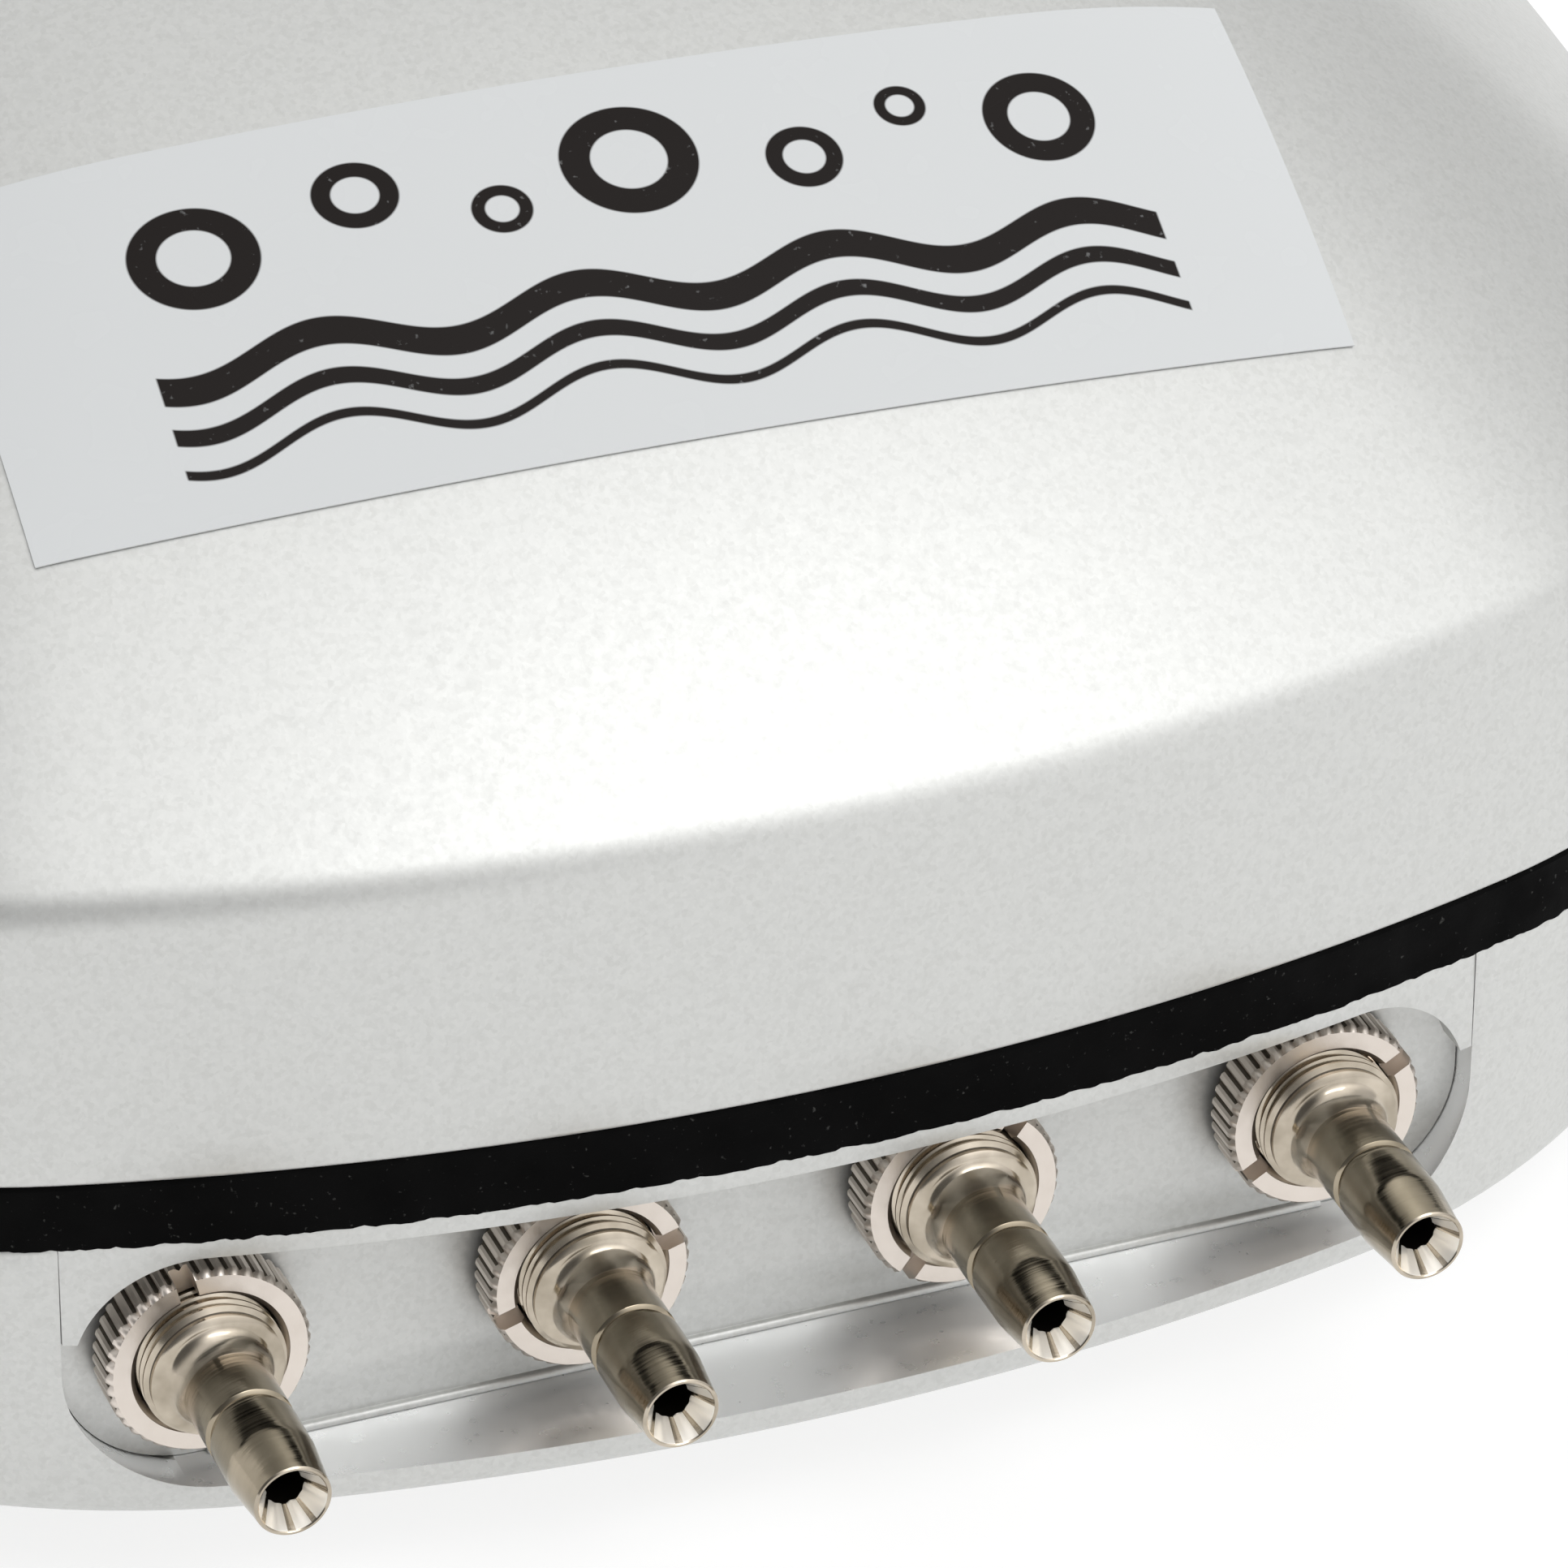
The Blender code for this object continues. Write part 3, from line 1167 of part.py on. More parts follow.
def frame_grommet(name, x, y):
    """Soft spool that keeps the frame's hum off the base."""
    ground = BASE_FLOOR_Z + GAP
    under = FRAME_Z[0] - GAP
    over = FRAME_Z[1] + GAP
    top = over + 2 * MM
    profile = [
        (0, ground),
        (GROMMET_RADIUS, ground),
        (GROMMET_RADIUS, under),
        (GROMMET_NECK_RADIUS, under),
        (GROMMET_NECK_RADIUS, over),
        (GROMMET_CAP_RADIUS, over),
        (GROMMET_CAP_RADIUS - 0.8 * MM, top),
        (0, top),
    ]
    return turned(name, profile, black_rubber(), (x, y, 0), (0, 0, 1), 14)


def terminal_block():
    """Block on the base where the lead's wires end."""
    low = (-TERMINAL_HALF_WIDTH, TERMINAL_Y[0], TERMINAL_Z[0])
    high = (TERMINAL_HALF_WIDTH, TERMINAL_Y[1], TERMINAL_Z[1])
    block = box("terminal_block", low, high, grey_plastic())
    wire_z = TERMINAL_Z[0] + 3.7 * MM
    screw_z = wire_z + 1.5 * MM
    middle_y = (TERMINAL_Y[0] + TERMINAL_Y[1]) / 2
    for x in (-TERMINAL_HALF_PITCH, TERMINAL_HALF_PITCH):
        drill(block, 1.6 * MM, TERMINAL_Y[0] - MM, TERMINAL_Y[1] + MM, (x, 0, wire_z), (0, 1, 0), 10)
        drill(block, 2.2 * MM, screw_z, TERMINAL_Z[1] + MM, (x, middle_y, 0), (0, 0, 1), 10)
    return block


# ---- assembly --------------------------------------------------------------------------------------
def build():
    for old in list(bpy.data.objects):
        bpy.data.objects.remove(old)
    upper_casing()
    lower_casing()
    casing_gasket()
    outlet_panel()
    for i, x in enumerate(nozzle_places()):
        outlet_nozzle(f"outlet_nozzle_{i + 1}", x)
        ring_nut(f"ring_nut_{i + 1}", x, NUT_SLOT_ANGLES[i])
    front_label()
    for i, (x, y) in enumerate(corners(FOOT_X, FOOT_Y)):
        rubber_foot(f"rubber_foot_{i + 1}", x, y)
    for i, (x, y) in enumerate(corners(POST_X, POST_Y)):
        casing_screw(f"casing_screw_{i + 1}", x, y)
    filter_cover()
    intake_filter()
    cable_gland()
    terminal_block()
    outlet_manifold()
    pump_frame()
    magnet_core()
    coil_bobbin()
    coil_winding()
    core_clamp()
    spots = [(side * x, y) for x, y in GROMMET_SPOTS for side in (-1, 1)]
    for i, (x, y) in enumerate(spots):
        frame_grommet(f"frame_grommet_{i + 1}", x, y)
    for word, side in (("left", -1), ("right", 1)):
        core_screw(f"core_screw_{word}", side)
        swing_arm(f"swing_arm_{word}", side)
        arm_magnet(f"arm_magnet_{word}", side)
        pivot_bush(f"pivot_bush_{word}", side)
        pivot_pin(f"pivot_pin_{word}", side)
        diaphragm_stud(f"diaphragm_stud_{word}", side)
        diaphragm(f"diaphragm_{word}", side)
        valve_box(f"valve_box_{word}", side)
        valve_cover(f"valve_cover_{word}", side)
        valve_flap(f"outlet_flap_{word}", side, -1)
        valve_flap(f"inlet_flap_{word}", side, 1)
        air_hose(f"air_hose_{word}", side)


build()
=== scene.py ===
"""Looks of a twin-diaphragm aquarium air pump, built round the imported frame.

Metres, +Z up, the nozzles point along -Y, as in the frame.
"""

from contextlib import contextmanager
from math import atan2, cos, hypot, pi, radians, sin, sqrt

import bmesh
import bpy
from mathutils import Matrix, Vector, noise


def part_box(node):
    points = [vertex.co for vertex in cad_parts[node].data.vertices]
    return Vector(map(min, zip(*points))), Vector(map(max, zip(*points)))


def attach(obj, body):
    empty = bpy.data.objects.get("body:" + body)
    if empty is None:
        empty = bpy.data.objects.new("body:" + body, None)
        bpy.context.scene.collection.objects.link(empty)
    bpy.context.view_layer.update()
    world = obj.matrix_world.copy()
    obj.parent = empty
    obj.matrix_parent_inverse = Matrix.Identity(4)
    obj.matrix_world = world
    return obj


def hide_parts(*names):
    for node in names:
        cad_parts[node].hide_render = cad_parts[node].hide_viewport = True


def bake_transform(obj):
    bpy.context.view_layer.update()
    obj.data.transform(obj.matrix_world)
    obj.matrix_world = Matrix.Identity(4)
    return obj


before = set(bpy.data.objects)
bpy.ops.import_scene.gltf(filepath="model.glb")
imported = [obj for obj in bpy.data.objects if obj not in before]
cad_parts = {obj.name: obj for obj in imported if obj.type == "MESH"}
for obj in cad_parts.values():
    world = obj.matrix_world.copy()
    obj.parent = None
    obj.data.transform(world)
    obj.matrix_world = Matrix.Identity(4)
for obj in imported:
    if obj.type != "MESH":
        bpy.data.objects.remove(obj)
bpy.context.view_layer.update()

MM = 0.001
SLIT = 0.05 * MM  # gap left between visible pieces that touch

# ---- sizes read from the frame ----
CASING_LOW, CASING_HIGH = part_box("upper_casing")
BASE_LOW, BASE_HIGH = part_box("lower_casing")
PANEL_LOW, PANEL_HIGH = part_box("outlet_panel")
HALF_WIDTH = CASING_HIGH[0]
HALF_LENGTH = CASING_HIGH[1]
SEAL_TOP_Z = CASING_LOW[2]
DOME_TOP_Z = CASING_HIGH[2]
BASE_Z = BASE_LOW[2]
SEAL_BOTTOM_Z = BASE_HIGH[2]
PANEL_X = (PANEL_LOW[0] + PANEL_HIGH[0]) / 2
PANEL_BACK_Y = PANEL_HIGH[1]

# ---- shape of the casing ----
FRONT_RADIUS = 151 * MM
SIDE_RADIUS = 300 * MM
CORNER_RADIUS = 40 * MM
WALL = 2.5 * MM
RIM_RADIUS = 0.35 * MM  # of the edges along the seal
BASE_SIDE_TAPER = 2.5 * MM
BASE_CORNER_RADIUS = 47 * MM
BASE_EDGE_RADIUS = 2.0 * MM
BASE_FLOOR_Z = 8.5 * MM
CREASE_Z = 46 * MM
CREASE_INSET = 1.7 * MM
CREASE_RADIUS = 3.6 * MM
CREASE_TURN = radians(46)  # the wall leans in by this much on its way into the dome
DOME_POWER = 2.45
TOP_FRONT_RADIUS = 80 * MM
TOP_SIDE_RADIUS = 150 * MM
TOP_CORNER_RADIUS = 55 * MM
ARC_STEPS = {"front": 22, "corner": 26, "side": 14}
DOME_ROWS = 56

RECESS_FACE_Y = -87.5 * MM
RECESS_FLOOR_Z = 8.4 * MM
RECESS_TOP_Z = 23.3 * MM
NOTCH_HALF_WIDTH = 41.3 * MM
NOTCH_CORNER_RADIUS = 7.6 * MM
SPANDREL_Z = 18.2 * MM  # below this the insert's recess is open to the ledge
CUT_MARGIN = 5 * MM  # how far a cutter starts in front of the casing

FOOT_HOLE_RADIUS = 3.3 * MM
SCREW_SINK_RADIUS = 3.8 * MM
SCREW_SINK = 2.2 * MM
FILTER_HOLE_RADIUS = 15 * MM
GLAND_HOLE_RADIUS = 5.8 * MM
THREAD_HOLE_RADIUS = 4.2 * MM

# ---- camera and light ----
CAMERA_LENS = 224.4  # millimetres on a 36 mm sensor
CAMERA_LOOK = Vector((0.30980, 0.79385, -0.52328))
CAMERA_FROM_NUTS = Vector((-160.57, -412.21, 300.75)) * MM


# ---- mesh helpers ----
def link(name, data):
    """New object in the scene."""
    made = bpy.data.objects.new(name, data)
    bpy.context.scene.collection.objects.link(made)
    return made


class Box:
    """Corners, middle and plan radius of a CAD node."""

    def __init__(self, node):
        self.node = node
        self.low, self.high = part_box(node)
        self.middle = (Vector(self.low) + Vector(self.high)) / 2
        self.radius = (self.high[0] - self.low[0]) / 2


def four(name):
    """Number and box of each of four like nodes."""
    return [(i, Box(f"{name}_{i}")) for i in range(1, 5)]


@contextmanager
def edited(mesh):
    """Change a mesh through bmesh."""
    work = bmesh.new()
    work.from_mesh(mesh)
    yield work
    work.to_mesh(mesh)
    work.free()


def add_piece(name, points, faces, material, sharp=35):
    """Link a new mesh object with outward faces."""
    mesh = bpy.data.meshes.new(name)
    mesh.from_pydata([tuple(p) for p in points], [], faces)
    with edited(mesh) as work:
        bmesh.ops.recalc_face_normals(work, faces=work.faces)
    mesh.materials.append(material)
    mesh.shade_smooth()
    mesh.set_sharp_from_angle(angle=radians(sharp))
    return link(name, mesh)


def loft(name, rings, material, closed=False, sharp=35):
    """Skin through rings of equal point count; closed joins the last ring to the first."""
    count = len(rings[0])
    points = [point for ring in rings for point in ring]
    faces = []
    rows = len(rings) if closed else len(rings) - 1
    for row in range(rows):
        a, b = row * count, (row + 1) % len(rings) * count
        for i in range(count):
            j = (i + 1) % count
            faces.append((a + i, a + j, b + j, b + i))
    if not closed:
        faces += [tuple(range(count)), tuple(range(len(points) - count, len(points)))]
    return add_piece(name, points, faces, material, sharp)


def prism(name, outline, low, high, axis, material):
    """Outline extruded along Y or Z."""
    if axis == "Y":
        rings = [[(x, h, z) for x, z in outline] for h in (low, high)]
    else:
        rings = [[(x, y, h) for x, y in outline] for h in (low, high)]
    return loft(name, rings, material)


def with_support(profile):
    """Profile with extra points just inside the ends of long steps, so that they shade flat."""
    reach = 0.06 * MM
    supported = []
    for (r0, a0), (r1, a1) in zip(profile, profile[1:] + profile[:1]):
        supported.append((r0, a0))
        length = hypot(r1 - r0, a1 - a0)
        if length > 6 * reach and r0 > 0 and r1 > 0:
            for share in (reach / length, 1 - reach / length):
                supported.append((r0 + (r1 - r0) * share, a0 + (a1 - a0) * share))
    return supported


def turned(name, profile, material, origin, axis, segments=64, sharp=35, shape=None):
    """Solid of revolution from a closed loop of (radius, distance along the axis).

    shape(radius, along, angle) may change the radius from place to place.
    """
    turn = Vector((0, 0, 1)).rotation_difference(Vector(axis)).to_matrix()
    points = []
    rows = []
    for radius, along in with_support(profile):
        if radius == 0:
            rows.append([len(points)])
            points.append(Vector((0, 0, along)))
            continue
        rows.append(list(range(len(points), len(points) + segments)))
        for i in range(segments):
            angle = 2 * pi * i / segments
            here = shape(radius, along, angle) if shape else radius
            points.append(Vector((here * cos(angle), here * sin(angle), along)))
    faces = []
    for index, row in enumerate(rows):
        other = rows[(index + 1) % len(rows)]
        if len(row) == 1 and len(other) == 1:
            continue
        for i in range(segments):
            j = (i + 1) % segments
            if len(row) == 1:
                faces.append((row[0], other[j], other[i]))
            elif len(other) == 1:
                faces.append((row[i], row[j], other[0]))
            else:
                faces.append((row[i], row[j], other[j], other[i]))
    placed = [Vector(origin) + turn @ p for p in points]
    return add_piece(name, placed, faces, material, sharp)


def combine(piece, tool, operation):
    """Apply a boolean with a tool, and drop the tool."""
    change = piece.modifiers.new(operation.lower(), "BOOLEAN")
    change.operation = operation
    change.object = tool
    change.solver = "EXACT"
    change.material_mode = "TRANSFER"
    apply_modifiers(piece)
    bpy.data.objects.remove(tool)


def apply_modifiers(piece):
    """Turn a piece's modifiers into its mesh."""
    bpy.context.view_layer.update()
    evaluated = piece.evaluated_get(bpy.context.evaluated_depsgraph_get())
    mesh = bpy.data.meshes.new_from_object(evaluated)
    piece.modifiers.clear()
    mesh.name = piece.name
    mesh.set_sharp_from_angle(angle=radians(35))
    piece.data = mesh


def bevel_edges(piece, width, segments=2):
    """Round the sharp edges of a piece a little."""
    bevel = piece.modifiers.new("bevel", "BEVEL")
    bevel.width = width
    bevel.segments = segments
    bevel.limit_method = "ANGLE"
    bevel.angle_limit = radians(40)
    bevel.use_clamp_overlap = True
    apply_modifiers(piece)


def drill(piece, radius, low, high, origin, axis):
    """Round hole between two distances along an axis."""
    profile = [(0, low), (radius, low), (radius, high), (0, high)]
    tool = turned("drill", profile, piece.data.materials[0], origin, axis, 48)
    combine(piece, tool, "DIFFERENCE")


def arc_points(centre, radius, start, end, steps):
    """Points of an arc in a plane, angles in degrees."""
    angles = [radians(start + (end - start) * i / steps) for i in range(steps + 1)]
    return [(centre[0] + radius * cos(a), centre[1] + radius * sin(a)) for a in angles]


def settle(piece, node):
    """A finished piece takes the place of its fixed CAD node."""
    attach(piece, "root")
    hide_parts(node)


# ---- materials ----
def set_range(node, *values):
    """Set what a map-range node maps from and to."""
    for word, value in zip(("From Min", "From Max", "To Min", "To Max"), values):
        node.inputs[word].default_value = value


class Finish:
    """Principled material with procedural detail, in object coordinates."""

    def __init__(self, name, colour, roughness, metallic=0.0, **extra):
        self.material = bpy.data.materials.new(name)
        self.material.use_nodes = True
        self.tree = self.material.node_tree
        self.shader = self.tree.nodes["Principled BSDF"]
        self.colour = (*colour, 1.0)
        self.shader.inputs["Base Color"].default_value = self.colour
        self.shader.inputs["Roughness"].default_value = roughness
        self.shader.inputs["Metallic"].default_value = metallic
        for word, value in extra.items():
            socket = word.replace("_", " ").title().replace("Ior", "IOR")
            self.shader.inputs[socket].default_value = value
        self.place = self.tree.nodes.new("ShaderNodeTexCoord").outputs["Object"]
        self.normal = None

    def node(self, kind, links=(), **values):
        """New node with its inputs set by name, and some linked."""
        made = self.tree.nodes.new(kind)
        for word, value in values.items():
            if hasattr(made, word):
                setattr(made, word, value)
            else:
                made.inputs[word].default_value = value
        for socket, source in dict(links).items():
            self.tree.links.new(source, made.inputs[socket])
        return made

    def stretched(self, scale):
        """Object coordinates scaled differently along each axis."""
        return self.node("ShaderNodeMapping", {"Vector": self.place}, Scale=scale).outputs["Vector"]

    def feed(self, socket, value):
        """Set a socket to a value, or link it to another node's output."""
        if isinstance(value, bpy.types.NodeSocket):
            self.tree.links.new(value, socket)
        else:
            socket.default_value = value

    def noise(self, size, detail=2.0, place=None):
        """Noise whose features are about so many metres across."""
        links = {"Vector": place or self.place}
        return self.node("ShaderNodeTexNoise", links, Detail=detail, Scale=1 / size).outputs["Fac"]

    def cells(self, size):
        """A random value for each cell of about this size."""
        made = self.node("ShaderNodeTexVoronoi", {"Vector": self.place}, Scale=1 / size)
        grey = self.node("ShaderNodeSeparateColor", {"Color": made.outputs["Color"]})
        return grey.outputs["Red"]

    def stripes(self, size, axis, wobble):
        """Even waves along one axis."""
        made = self.node("ShaderNodeTexWave", {"Vector": self.place}, Distortion=wobble, Scale=1 / size)
        made.bands_direction = axis
        return made.outputs["Fac"]

    def ramp(self, value, low, high, start=0.3, end=0.7):
        """Value mapped from start..end to low..high."""
        made = self.node("ShaderNodeMapRange", {"Value": value})
        set_range(made, start, end, low, high)
        return made.outputs["Result"]

    def blend(self, share, first, second):
        """Colour between two colours or sockets."""
        made = self.node("ShaderNodeMix", {"Factor": share}, data_type="RGBA")
        for socket, value in ((made.inputs[6], first), (made.inputs[7], second)):
            self.feed(socket, (*value[:3], 1.0) if isinstance(value, tuple) else value)
        return made.outputs[2]

    def tint(self, share, other):
        """Base colour drifts from what it is towards another colour."""
        socket = self.shader.inputs["Base Color"]
        first = socket.links[0].from_socket if socket.links else self.colour
        self.tree.links.new(self.blend(share, first, other), socket)

    def rough(self, value, low, high):
        """Roughness that varies from place to place."""
        self.tree.links.new(self.ramp(value, low, high), self.shader.inputs["Roughness"])

    def bump(self, height, depth, strength=1.0):
        """Relief of about this depth, on top of any earlier one."""
        made = self.node("ShaderNodeBump", {"Height": height}, Distance=depth, Strength=strength)
        if self.normal:
            self.tree.links.new(self.normal, made.inputs["Normal"])
        self.normal = made.outputs["Normal"]
        self.tree.links.new(self.normal, self.shader.inputs["Normal"])


def silver_paint():
    """Fine metallic paint: soft gloss, slight orange peel and tiny flakes."""
    made = Finish("silver_paint", (0.605, 0.61, 0.595), 0.42, 0.72)
    made.tint(made.ramp(made.cells(0.24 * MM), 0.0, 0.18, 0.0, 1.0), (0.80, 0.80, 0.78))
    made.tint(made.ramp(made.cells(0.31 * MM), 0.0, 0.20, 0.5, 1.0), (0.44, 0.44, 0.42))
    made.tint(made.ramp(made.noise(30 * MM, 1), 0.0, 0.05), (0.55, 0.55, 0.53))
    made.rough(made.noise(0.8 * MM, 2), 0.40, 0.45)
    made.bump(made.noise(0.28 * MM, 1), 0.0025 * MM)
    made.bump(made.noise(2.6 * MM, 1), 0.006 * MM)
    return made.material


def notch_light_finish():
    """Smooth, paler finish of the cut notch, with softly blurred reflections; the pale colour is painted
    light that brightens the shaded ledge, which is the casing's silver paint.
    """
    made = Finish("notch_painted_light", (0.96, 0.97, 0.975), 0.3, 0.66)
    made.rough(made.noise(1.2 * MM, 2), 0.26, 0.36)
    return made.material


def rubber(name, grain=0.25):
    """Matte black rubber with a fine grain and pale dust specks."""
    made = Finish(name, (0.002, 0.002, 0.002), 0.6, specular_ior_level=0.04)
    specks = made.ramp(made.noise(0.35 * MM, 2), 0.0, 0.5, 0.68, 0.8)
    made.tint(specks, (0.10, 0.10, 0.095))
    made.rough(made.noise(3 * MM, 2), 0.5, 0.75)
    made.bump(made.noise(grain * MM, 3), 0.02 * MM, 0.8)
    return made.material


def nickel(name, colour):
    """Warm nickel plate with fine lathe lines round the nozzle's axis."""
    made = Finish(name, colour, 0.16, 1.0)
    rings = made.noise(0.16 * MM, 2, made.stretched((0.02, 1.0, 0.02)))
    made.rough(rings, 0.11, 0.22)
    made.tint(made.ramp(made.noise(2.4 * MM, 3), 0.0, 0.6), (0.20, 0.168, 0.115))
    made.bump(rings, 0.004 * MM)
    return made.material


def nut_nickel():
    """Nickel plated nut with a matte, slightly pink faced front."""
    made = Finish("nut_nickel", (0.74, 0.675, 0.615), 0.34, 1.0)
    made.rough(made.noise(0.7 * MM, 3), 0.30, 0.42)
    made.tint(made.ramp(made.noise(2.2 * MM, 3), 0.0, 0.25), (0.62, 0.55, 0.48))
    made.bump(made.noise(0.12 * MM, 2), 0.004 * MM)
    return made.material


def groove_shade_nickel():
    """Painted shade: dark nickel in the thread roots and between the teeth of the knurl."""
    made = Finish("groove_shade_nickel", (0.17, 0.145, 0.115), 0.5, 0.9)
    made.tint(made.ramp(made.noise(0.6 * MM, 3), 0.0, 0.6), (0.06, 0.05, 0.04))
    return made.material


def zinc():
    """Zinc plated steel with a faint cloudy sheen."""
    made = Finish("zinc_plate", (0.58, 0.59, 0.60), 0.3, 1.0)
    made.tint(made.ramp(made.noise(1.4 * MM, 3), 0.0, 0.35), (0.50, 0.50, 0.42))
    made.rough(made.noise(0.6 * MM, 2), 0.24, 0.4)
    made.bump(made.noise(0.2 * MM, 2), 0.006 * MM)
    return made.material


def plastic(name, colour, roughness=0.5):
    """Moulded plastic with a fine spark-eroded grain."""
    made = Finish(name, colour, roughness)
    paler = tuple(min(1.0, 1.25 * c + 0.01) for c in colour)
    made.tint(made.ramp(made.noise(9 * MM, 3), 0.0, 0.4), paler)
    made.rough(made.noise(1.5 * MM, 2), roughness - 0.08, roughness + 0.08)
    made.bump(made.noise(0.3 * MM, 2), 0.02 * MM, 0.7)
    return made.material


def felt():
    """Pressed white fibres."""
    made = Finish("white_felt", (0.78, 0.77, 0.73), 0.95, sheen_weight=0.3)
    fibres = made.noise(0.25 * MM, 5)
    made.tint(made.ramp(fibres, 0.0, 0.5), (0.58, 0.56, 0.51))
    made.bump(fibres, 0.25 * MM)
    return made.material


def laminated_steel():
    """Stack of thin steel sheets, seen as fine level lines."""
    made = Finish("laminated_steel", (0.30, 0.30, 0.31), 0.42, 1.0)
    sheets = made.stripes(3.1 * MM, "Z", 0.2)
    made.tint(made.ramp(sheets, 0.0, 0.7, 0.0, 1.0), (0.14, 0.135, 0.13))
    made.tint(made.ramp(made.noise(3 * MM, 4), 0.0, 0.4, 0.55, 0.8), (0.25, 0.15, 0.10))
    made.bump(sheets, 0.05 * MM)
    return made.material


def copper_wire():
    """Even layers of enamelled wire wound round the bobbin."""
    made = Finish("copper_wire", (0.46, 0.16, 0.06), 0.28, 0.85, coat_weight=0.6, coat_roughness=0.12)
    turns = made.stripes(2.5 * MM, "Y", 0.4)
    # Darker colour in the grooves between turns is painted shade.
    made.tint(made.ramp(turns, 0.6, 0.0, 0.0, 0.6), (0.16, 0.045, 0.015))
    made.bump(turns, 0.12 * MM)
    return made.material


def brushed_aluminium():
    """Satin aluminium with long brush lines."""
    made = Finish("brushed_aluminium", (0.66, 0.665, 0.67), 0.32, 1.0)
    lines = made.noise(0.12 * MM, 2, made.stretched((1.0, 0.03, 1.0)))
    made.rough(lines, 0.26, 0.42)
    made.bump(lines, 0.006 * MM)
    return made.material


def ferrite():
    """Dull dark ceramic magnet with small chips of grain."""
    made = Finish("ferrite", (0.045, 0.045, 0.05), 0.55, 0.2)
    made.tint(made.ramp(made.cells(0.4 * MM), 0.0, 0.35, 0.4, 1.0), (0.10, 0.10, 0.11))
    made.bump(made.noise(0.25 * MM, 4), 0.03 * MM)
    return made.material


def label_print(width):
    """White film printed with plain waves and bubbles; the UV map is in millimetres."""
    made = Finish("label_film", (0.66, 0.675, 0.68), 0.3, specular_ior_level=0.12)
    surface = made.node("ShaderNodeUVMap", uv_map="film").outputs["UV"]
    spot = made.node("ShaderNodeSeparateXYZ", {"Vector": surface})
    across, upward = spot.outputs["X"], spot.outputs["Y"]

    def math(operation, *values):
        """Result of one sum on numbers or sockets."""
        step = made.node("ShaderNodeMath", operation=operation)
        for socket, value in zip(step.inputs, values):
            made.feed(socket, value)
        return step.outputs[0]

    def band(value, edge):
        """1 below the edge, fading out over a hair's breadth."""
        soft = 0.06
        return made.ramp(value, 1.0, 0.0, edge - soft, edge + soft)

    ink = None
    margin, length = 9.0, width - 18.0
    inside = band(math("ABSOLUTE", math("SUBTRACT", across, margin + length / 2)), length / 2)
    for level, thickness in ((9.6, 0.95), (6.6, 0.55), (4.2, 0.3)):
        swing = math("MULTIPLY", math("SINE", math("MULTIPLY", across, 2 * pi / 14.5)), 1.1)
        offset = math("ABSOLUTE", math("SUBTRACT", math("SUBTRACT", upward, level), swing))
        line = math("MULTIPLY", band(offset, thickness), inside)
        ink = line if ink is None else math("MAXIMUM", ink, line)
    for x, y, radius in LABEL_BUBBLES:
        squares = [math("POWER", math("SUBTRACT", *pair), 2.0) for pair in ((across, x), (upward, y))]
        reach = math("SQRT", math("ADD", *squares))
        ring = math("MULTIPLY", band(reach, radius), math("SUBTRACT", 1.0, band(reach, radius * 0.55)))
        ink = math("MAXIMUM", ink, ring)
    wear_and_painted_reflection = made.ramp(made.noise(0.5 * MM, 4), 1.0, 0.72, 0.66, 0.8)
    made.tint(math("MULTIPLY", ink, wear_and_painted_reflection), (0.012, 0.009, 0.008))
    made.rough(made.noise(4 * MM, 2), 0.2, 0.3)
    made.bump(made.noise(1.5 * MM, 2), 0.004 * MM)
    return made.material


LABEL_BUBBLES = (
    (13.0, 17.2, 3.6), (22.5, 19.4, 2.4), (30.0, 16.6, 1.7), (37.8, 18.6, 3.9),
    (47.5, 16.9, 2.2), (54.0, 19.6, 1.5), (61.8, 17.6, 3.3),
)


